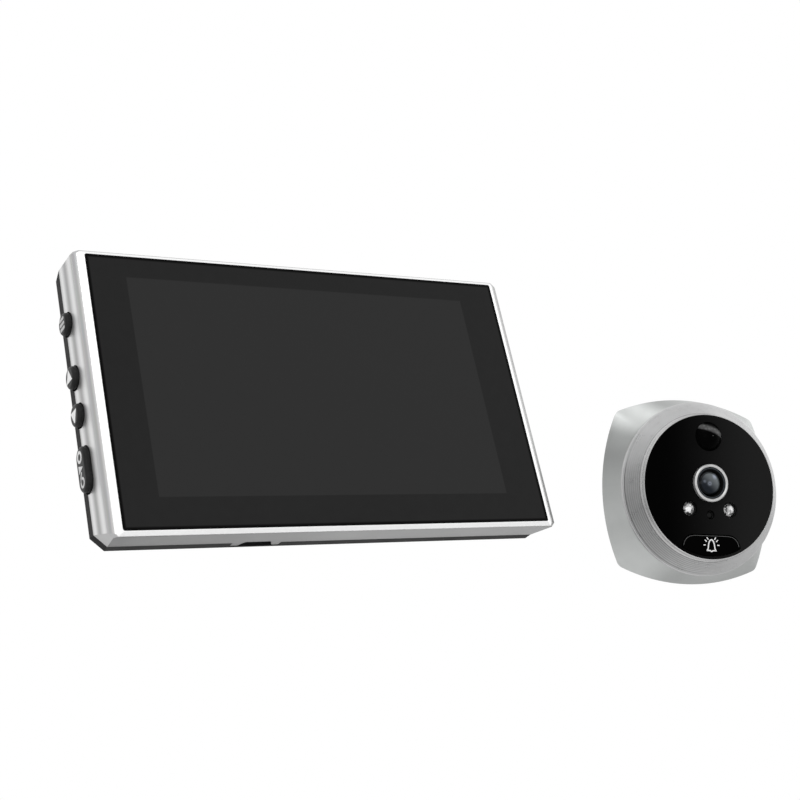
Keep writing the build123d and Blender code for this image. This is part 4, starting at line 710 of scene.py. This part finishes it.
# %% Finish the dome
DOME_SLOPE = unit_upward * 0.93 + unit_across * 0.35
FACET_SCALE, FACET_REACH, FACET_DIM = 900.0, 0.6, 0.35
SHEEN_START, SHEEN_FULL, SHEEN_FADE, SHEEN_END = 0.14, 0.26, 0.44, 0.62
PAINTED_SHEEN_GREY = grey(0.16)
material, tree, shader, where = grained(
    "facetted_black_dome", grey(0.0005), grey(0.0009), (0.18, 0.3), size=900.0, bump=0.02,
    wear=0.0, Specular_IOR_Level=0.012)
facets = add_node(tree, "ShaderNodeTexVoronoi",
                  {"Vector": centre_on_unit(tree, where), "Scale": FACET_SCALE,
                   "Randomness": 0.15}, distance="CHEBYCHEV").outputs["Distance"]
press_in(tree, shader, facets, 0.25)
# Painted sheen in a band where the dome leans up, dimmed inside each facet.
leaning = add_node(tree, "ShaderNodeNewGeometry").outputs["Normal"]
skyward = vector(tree, "DOT_PRODUCT", leaning, DOME_SLOPE)
painted_sheen = number(tree, "MULTIPLY", remap(tree, skyward, SHEEN_START, SHEEN_FULL),
               remap(tree, skyward, SHEEN_END, SHEEN_FADE))
in_facet = remap(tree, facets, 0.0, FACET_REACH, 1.0, FACET_DIM)
painted_sheen_by_facet = number(tree, "MULTIPLY", painted_sheen, in_facet)
lay_over(tree, shader, painted_sheen_by_facet, PAINTED_SHEEN_GREY)
dress(material, "pir_dome")

# %% [markdown]
# ## The lens
# The lens is opaque here, because a white studio shines through clear glass as a flat grey. A
# painted reflection lightens it towards the upper right. A few painted glints are placed by their
# distance from a spot, given with a radius and a strength, and dark stops lie round the lens's
# centre.

# %% Finish the lens
LENS_CENTRE, GLASS_RADIUS = (0.0, 0.0, 0.0011), 0.0043
GLASS_STOPS = [(0.0, 1.0), (0.74, 1.0), (0.79, 0.12), (0.84, 0.45), (0.88, 0.08), (1.0, 0.02)]
UP_RIGHT, LENS_REFLECTION_START, LENS_REFLECTION_END = (0.64, 0.0, 0.77), -0.0012, 0.0036
LENS_REFLECTION_GREY, PALE_BLUE, PUPIL = (0.155, 0.17, 0.18, 1), (0.42, 0.46, 0.56, 1), grey(0.02)
PAINTED_GLINTS = [((-0.0005, 0.0, 0.0009), 0.0011, 0.45, PALE_BLUE),
          ((-0.0005, 0.0, 0.0009), 0.0004, 1.0, PUPIL),
          ((-0.0022, 0.0, 0.0016), 0.0008, 0.25, PALE_BLUE),
          ((0.0017, 0.0, 0.0034), 0.0014, 0.75, PALE_BLUE)]


def rings_round_lens(tree, flat, radius, levels):
    """Levels round the lens's centre, given as (share of the radius, level)."""
    share = remap(tree, vector(tree, "DISTANCE", flat, LENS_CENTRE), 0.0, radius)
    return level_ramp(tree, share, levels, "LINEAR")


material, tree, shader, where = grained(
    "coated_lens_glass", (0.009, 0.012, 0.017, 1), (0.012, 0.015, 0.021, 1), (0.03, 0.10),
    size=600.0, bump=0.003, wear=0.0, Specular_IOR_Level=0.08)
flat = vector(tree, "MULTIPLY", centre_on_unit(tree, where), ACROSS_AXIS)
# Painted reflection, lighter towards the upper right.
painted_lens_reflection = remap(tree, vector(tree, "DOT_PRODUCT", flat, UP_RIGHT), LENS_REFLECTION_START, LENS_REFLECTION_END,
              interpolation_type="SMOOTHSTEP")
lay_over(tree, shader, painted_lens_reflection, LENS_REFLECTION_GREY)
# Painted glints, each a spot with a radius and a strength.
for spot, radius, strength, colour in PAINTED_GLINTS:
    painted_glint = remap(tree, vector(tree, "DISTANCE", flat, spot), radius, 0.0, 0.0, strength,
                  interpolation_type="SMOOTHSTEP")
    lay_over(tree, shader, painted_glint, colour)
stops = rings_round_lens(tree, flat, GLASS_RADIUS, GLASS_STOPS)
lay_over(tree, shader, 1.0, stops, "MULTIPLY")
dress(material, "lens_dome", "rear_lens")

# %% [markdown]
# The barrel that holds the lens is blackened, so that no stray light gets in. Its mouth has one
# thin painted highlight, a grey ring at a distance from the same centre.

# %% Finish the barrel
MOUTH_RADIUS, MOUTH_HIGHLIGHT_GREY = 0.0055, (0.05, 0.057, 0.066, 1)
MOUTH_HIGHLIGHT_LINE = [(0.0, 0.0), (0.855, 0.0), (0.87, 1.0), (0.90, 1.0), (0.915, 0.0), (1.0, 0.0)]
material, tree, shader, where = grained(
    "lens_barrel_black", grey(0.003), grey(0.006), (0.35, 0.5), size=3000.0, bump=0.1,
    wear=0.0, Specular_IOR_Level=0.06)
flat = vector(tree, "MULTIPLY", centre_on_unit(tree, where), ACROSS_AXIS)
# Painted highlight: one thin grey ring on the barrel's mouth.
painted_mouth_highlight = rings_round_lens(tree, flat, MOUTH_RADIUS, MOUTH_HIGHLIGHT_LINE)
lay_over(tree, shader, painted_mouth_highlight, MOUTH_HIGHLIGHT_GREY)
dress(material, "lens_barrel", "lens_holder")

# %% [markdown]
# ## Light sensor and night lamps
# The light sensor is smoked resin, almost black. The night lamps are beads with a silvered,
# facetted inside: a Voronoi pattern paints facets bright or dark at random, as painted glints.

# %% Finish the sensor and the lamps
CELL_SCALE, PICK_LOW, PICK_HIGH, CELL_DARK, CELL_BRIGHT = 1500.0, 0.2, 0.7, 0.05, 0.95
dress(grained("smoked_resin", grey(0.009), grey(0.013), (0.1, 0.25), size=600.0, bump=0.01,
              wear=0.0, Specular_IOR_Level=0.06)[0], "light_sensor")
material, tree, shader, where = grained(
    "silvered_lamp_bead", grey(0.5), grey(0.6), (0.08, 0.2), size=1200.0, bump=0.02,
    Metallic=0.2)
cells = add_node(tree, "ShaderNodeTexVoronoi",
                 {"Vector": where, "Scale": CELL_SCALE}).outputs
pick = add_node(tree, "ShaderNodeSeparateColor", {"Color": cells["Color"]}).outputs["Red"]
# Painted glints: each facet bright or dark at random.
painted_sparkle = remap(tree, pick, PICK_LOW, PICK_HIGH, CELL_DARK, CELL_BRIGHT)
set_inputs(tree, shader, {"Base Color": painted_sparkle})
press_in(tree, shader, cells["Distance"], 0.2)
dress(material, "ir_leds")

# %% [markdown]
# ## Modelling helpers
# New pieces are drawn as by hand: a line is pulled out of one vertex, point by point, then
# filled, extruded or spun. Loading leaves every CAD node selected, so each drawing starts by
# deselecting all. Points are in millimetres, in a flat plane whose third direction faces out.

# %% Draw, place and join
WELD = 1e-7


def clear_selection():
    """Back to object mode with nothing selected."""
    if bpy.context.mode != "OBJECT":
        bpy.ops.object.mode_set(mode="OBJECT")
    bpy.ops.object.select_all(action="DESELECT")


def draw_line(name, points):
    """A chain of edges through the points, left in edit mode with all of it selected."""
    clear_selection()
    bpy.ops.mesh.primitive_plane_add(size=MM, location=(0, 0, 0))
    piece = bpy.context.object
    piece.name = piece.data.name = name
    bpy.ops.object.mode_set(mode="EDIT")
    bpy.ops.mesh.select_all(action="SELECT")
    bpy.ops.mesh.merge(type="CENTER")
    bpy.ops.transform.translate(value=Vector(points[0]) * MM)
    for before, after in zip(points, points[1:]):
        step = (Vector(after) - Vector(before)) * MM
        bpy.ops.mesh.extrude_region_move(TRANSFORM_OT_translate={"value": step})
    bpy.ops.mesh.select_all(action="SELECT")
    return piece


def finish_shape(piece, place, material):
    """Faces outwards, leaves edit mode, moves the shape to its place and gives its material."""
    bpy.ops.mesh.select_all(action="SELECT")
    bpy.ops.mesh.remove_doubles(threshold=WELD)
    bpy.ops.mesh.normals_make_consistent(inside=False)
    bpy.ops.object.mode_set(mode="OBJECT")
    piece.matrix_world = place
    bpy.ops.object.transform_apply(location=True, rotation=True, scale=True)
    piece.data.materials.append(material)
    return piece


def join_pieces(name, pieces):
    """Several drawn pieces as one object."""
    clear_selection()
    for piece in pieces:
        piece.select_set(True)
    bpy.context.view_layer.objects.active = pieces[0]
    if len(pieces) > 1:
        bpy.ops.object.join()
    pieces[0].name = pieces[0].data.name = name
    return pieces[0]


print("drawing helpers ready")

# %% [markdown]
# ## The printed marks
# The marks are white ink, raised by a few hundredths of a millimetre. They could be a pattern in
# the material, but then they would vanish from the mesh. Each is an outline, filled or inset to
# a stroke, and pulled out of its face. It starts just below the face, so no gap shows.

# %% Turn an outline into a raised mark
MARK_HEIGHT, MARK_SINK = 0.08, 0.03


def raised_mark(name, outline, place, material, stroke=None):
    """The outline filled, made a stroke if asked, and extruded outwards."""
    piece = draw_line(name, [(x, y, 0) for x, y in outline])
    bpy.ops.mesh.edge_face_add()
    if stroke:
        bpy.ops.mesh.inset(thickness=stroke * MM, depth=0)
        bpy.ops.mesh.delete(type="ONLY_FACE")
        bpy.ops.mesh.select_all(action="SELECT")
    bpy.ops.mesh.extrude_region_move(
        TRANSFORM_OT_translate={"value": (0, 0, MARK_HEIGHT * MM)})
    return finish_shape(piece, place, material)


def rounded_bar(length, width, turn, x, y, ends=6):
    """The outline of a bar with round ends, turned by an angle and moved to x, y."""
    half, reach = width / 2, (length - width) / 2
    points = []
    for side in (1, -1):
        for step in range(ends + 1):
            a = -pi / 2 + pi * step / ends
            points.append((side * (reach + half * cos(a)), side * half * sin(a)))
    c, s = cos(radians(turn)), sin(radians(turn))
    return [(x + c * u - s * v, y + s * u + c * v) for u, v in points]


print("marks are", MARK_HEIGHT - MARK_SINK, "mm proud")

# %% [markdown]
# The marks lie on two faces: the front of the unit and the left side of the monitor. A drawing
# plane for each is a matrix whose columns are its right, its up and its outward direction.

# %% The marks' planes
KEY_ROW_DEPTH = -0.0045
button_face_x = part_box("up_button")[0].x


def on_unit(depth):
    """A drawing plane on the unit: x across, y up, facing out of the door at a depth in mm."""
    turn = Matrix((unit_across, unit_upward, -unit_inward)).transposed().to_4x4()
    turn.translation = unit_centre + unit_inward * depth * MM
    return turn


def on_side(height):
    """A drawing plane on the monitor's left side, centred at a height in mm."""
    turn = Matrix(((0, 0, -1), (-1, 0, 0), (0, 1, 0))).to_4x4()
    turn.translation = (button_face_x + MARK_SINK * MM, KEY_ROW_DEPTH, height * MM)
    return turn


print("key faces at x =", round(button_face_x / MM, 2), "mm")

# %% [markdown]
# Printing ink is a matt plastic. It is clean and white on the bell and the arrows, worn grey on
# the menu key and patchy on the long key. The line round the bell button is a painted highlight
# in the same matt plastic, barely lighter than the acrylic.

# %% Mix the inks


def ink(name, dark, light, size=1500.0):
    """A matt ink between two levels of grey, also used for the painted edge highlight."""
    return grained(name, grey(dark), grey(light), (0.35, 0.5), size=size, wear=0.0)[0]


white_ink = ink("white_ink", 0.80, 0.88, size=3000.0)
worn_ink = ink("worn_grey_ink", 0.40, 0.60)
patchy_ink = ink("function_ink", 0.45, 0.80)
painted_edge_highlight = ink("painted_edge_highlight_grey", 0.07, 0.10)
print("four inks mixed")

# %% [markdown]
# The doorbell button carries a bell. It is its outline, inset to a stroke, with the inner face
# taken out. Only its right half is written down, and the left one mirrors it.

# %% Draw the bell
BELL_STROKE = 0.42
BELL_HALF = [(0.0, -17.3), (0.5, -17.5), (0.95, -18.0), (1.22, -18.8), (1.38, -19.8),
             (1.5, -20.55), (1.85, -20.95), (1.85, -21.3), (0.6, -21.3), (0.3, -21.52)]


def mirrored(half):
    """The left half of an outline, in the opposite order."""
    return [(-x, z) for x, z in reversed(half)]


bell_line = BELL_HALF + [(0.0, -21.6)] + mirrored(BELL_HALF[1:])
bell_place = on_unit(MARK_SINK)
bell_mark = raised_mark("bell_mark", bell_line, bell_place, white_ink, BELL_STROKE)
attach(bell_mark, "bell")
print("bell drawn from", len(bell_line), "points")

# %% [markdown]
# Six rays stand round the bell, three on each side. Each is a round-ended bar with its own
# place, turn and length, so one function gives the outline of any of them.

# %% Draw the rays
RAY_WIDTH = 0.36
RAYS = [(1.4, -17.15, 55, 1.0), (2.1, -17.9, 40, 1.0), (2.55, -19.3, -5, 0.9)]
rays = []
for x, z, turn, length in RAYS:
    for side, tilt in ((1, turn), (-1, 180 - turn)):
        outline = rounded_bar(length, RAY_WIDTH, tilt, side * x, z)
        rays.append(raised_mark("bell_ray", outline, bell_place, white_ink))
bell_rays = join_pieces("bell_rays", rays)
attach(bell_rays, "bell")
print("bell has", len(rays), "rays")

# %% [markdown]
# A faint painted highlight follows the button's upper edge, as a raised line. It runs along an
# arc and back along a second arc, a little way in.

# %% Draw the button's edge line
EDGE_HALF = [(6.3, -16.22), (7.9, -16.50), (9.1, -17.20), (9.95, -18.3), (10.35, -19.6)]
EDGE_INSET = [(6.3, -16.36), (7.85, -16.63), (9.0, -17.31), (9.82, -18.38), (10.2, -19.62)]
edge_way_back = mirrored(EDGE_INSET)[::-1]
edge_line = mirrored(EDGE_HALF) + EDGE_HALF + EDGE_INSET[::-1] + edge_way_back
# Painted highlight: a faint raised line along the button's upper edge.
bell_edge = raised_mark("bell_edge", edge_line, bell_place, painted_edge_highlight)
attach(bell_edge, "bell")
print("edge line drawn from", len(edge_line), "points")

# %% [markdown]
# The four keys on the left side carry a menu mark of three bars, an upward and a downward
# arrowhead, and on the long key a ring, a triangle, a bar and a second ring.

# %% Draw the key marks
KEY_HEIGHTS = {"menu": 22.5, "up": 6.7, "down": -4.1, "function": -19.3}


def arrowhead(way):
    """A triangle that points up or down, on a key of 6.7 mm."""
    return [(-2.1, -1.2 * way), (2.1, -1.2 * way), (0.25, 2.1 * way), (-0.25, 2.1 * way)]


def ring(x, y, radius, steps=20):
    """A round outline."""
    return [(x + radius * cos(2 * pi * s / steps), y + radius * sin(2 * pi * s / steps))
            for s in range(steps)]


def key_mark(name, shapes, body, material):
    """One object of several outlines, each with its stroke, on a key of the left side."""
    place = on_side(KEY_HEIGHTS[body])
    drawn = [raised_mark(name, outline, place, material, stroke) for outline, stroke in shapes]
    piece = join_pieces(name, drawn)
    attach(piece, body)
    print(name, "has", len(shapes), "shapes")


menu_bars = [(rounded_bar(3.6, 0.95, 0, 0, y), None) for y in (1.35, 0.0, -1.35)]
key_mark("menu_mark", menu_bars, "menu", worn_ink)
key_mark("up_mark", [(arrowhead(1), None)], "up", white_ink)
key_mark("down_mark", [(arrowhead(-1), None)], "down", white_ink)
triangle = [(-1.5, 1.4), (-1.5, -0.9), (1.6, 0.3)]
long_key_marks = [(ring(0, 3.4, 1.7), 0.8), (triangle, None),
                  (rounded_bar(2.8, 0.75, 60, -0.5, -1.9), None), (ring(0.1, -3.6, 1.5), 0.7)]
key_mark("function_mark", long_key_marks, "function", patchy_ink)

# %% [markdown]
# ## The threaded tube
# The tube that passes through the door is screwed over its whole length. In CAD it is plain,
# because a thread has no place in a collision model. Its core is one closed profile, given as
# (radius, distance along the axis), and spun round.

# %% Spin the tube's core
TUBE_STEPS = 72
TUBE_PROFILE = [(5.0, -13.3), (10.3, -13.3), (10.5, -13.5), (10.5, -14.3), (10.3, -14.5),
                (7.7, -14.5), (7.7, -16.8), (6.98, -17.5), (6.98, -18.2), (6.4, -18.6),
                (6.4, -44.2), (6.1, -44.8), (5.2, -44.8), (5.0, -44.6)]
tube_finish = grained("zinc_tube", grey(0.42), grey(0.55), (0.25, 0.4), size=900.0,
                      edge=0.0001, wear=0.4, wear_colour=grey(0.8), Metallic=1.0)[0]
core = draw_line("threaded_tube", [(r, 0, z) for r, z in TUBE_PROFILE + TUBE_PROFILE[:1]])
bpy.ops.mesh.spin(steps=TUBE_STEPS, angle=2 * pi, center=(0, 0, 0), axis=(0, 0, 1))
finish_shape(core, on_unit(0), tube_finish)
print("core:", len(core.data.polygons), "faces")

# %% [markdown]
# The thread could be a bump in the material, but then it would not show in the tube's outline.
# So it is a small tooth, carried round and along by the Screw modifier. Its two open ends are
# found as edges with a face on one side only, and closed.

# %% Wind the thread
THREAD_PITCH, THREAD_TURNS, THREAD_STEPS = 1.25, 20, 36
TOOTH = [(6.3, -18.4), (6.98, -18.72), (6.98, -18.88), (6.3, -19.2)]
tooth = draw_line("thread", [(r, 0, z) for r, z in TOOTH])
bpy.ops.mesh.edge_face_add()
bpy.ops.mesh.delete(type="ONLY_FACE")
bpy.ops.object.mode_set(mode="OBJECT")
coil = tooth.modifiers.new("coil", "SCREW")
coil.angle, coil.iterations = 2 * pi, THREAD_TURNS
coil.screw_offset = -THREAD_PITCH * MM
coil.steps = coil.render_steps = THREAD_STEPS
coil.use_merge_vertices = False
bpy.ops.object.modifier_apply(modifier="coil")
bpy.ops.object.mode_set(mode="EDIT")
bpy.ops.mesh.select_all(action="SELECT")
bpy.ops.mesh.remove_doubles(threshold=WELD)
bpy.ops.mesh.select_all(action="DESELECT")
bpy.ops.mesh.select_mode(type="EDGE")
bpy.ops.mesh.select_non_manifold(extend=False)
bpy.ops.mesh.edge_face_add()
finish_shape(tooth, on_unit(0), tube_finish)
print("thread:", THREAD_TURNS, "turns of", THREAD_PITCH, "mm")

# %% [markdown]
# Core and thread become one piece, which takes the place of the plain tube. It is shaded smooth,
# apart from its sharp edges.

# %% Join the threaded tube
threaded_tube = join_pieces("threaded_tube", [core, tooth])
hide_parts("door_tube")
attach(threaded_tube, "door_side")
bpy.ops.object.shade_smooth_by_angle(angle=radians(35))
print("threaded tube:", len(threaded_tube.data.polygons), "faces")

# %% [markdown]
# ## The floor
# A plain pale floor lies below the object and keeps its shadow. The photograph's view looks up
# past it, so it only shows from other sides.

# %% Lay the floor
FLOOR_WIDTH, FLOOR_HEIGHT = 8.0, -0.2
clear_selection()
bpy.ops.mesh.primitive_plane_add(size=FLOOR_WIDTH, location=(0, 0, FLOOR_HEIGHT))
floor = bpy.context.object
floor.name = "studio_floor"
floor.data.materials.append(grained("pale_floor", grey(0.92), grey(0.95), (0.6, 0.7),
                                    size=8.0, bump=0.0, wear=0.0)[0])
print("floor laid at", FLOOR_HEIGHT, "m")
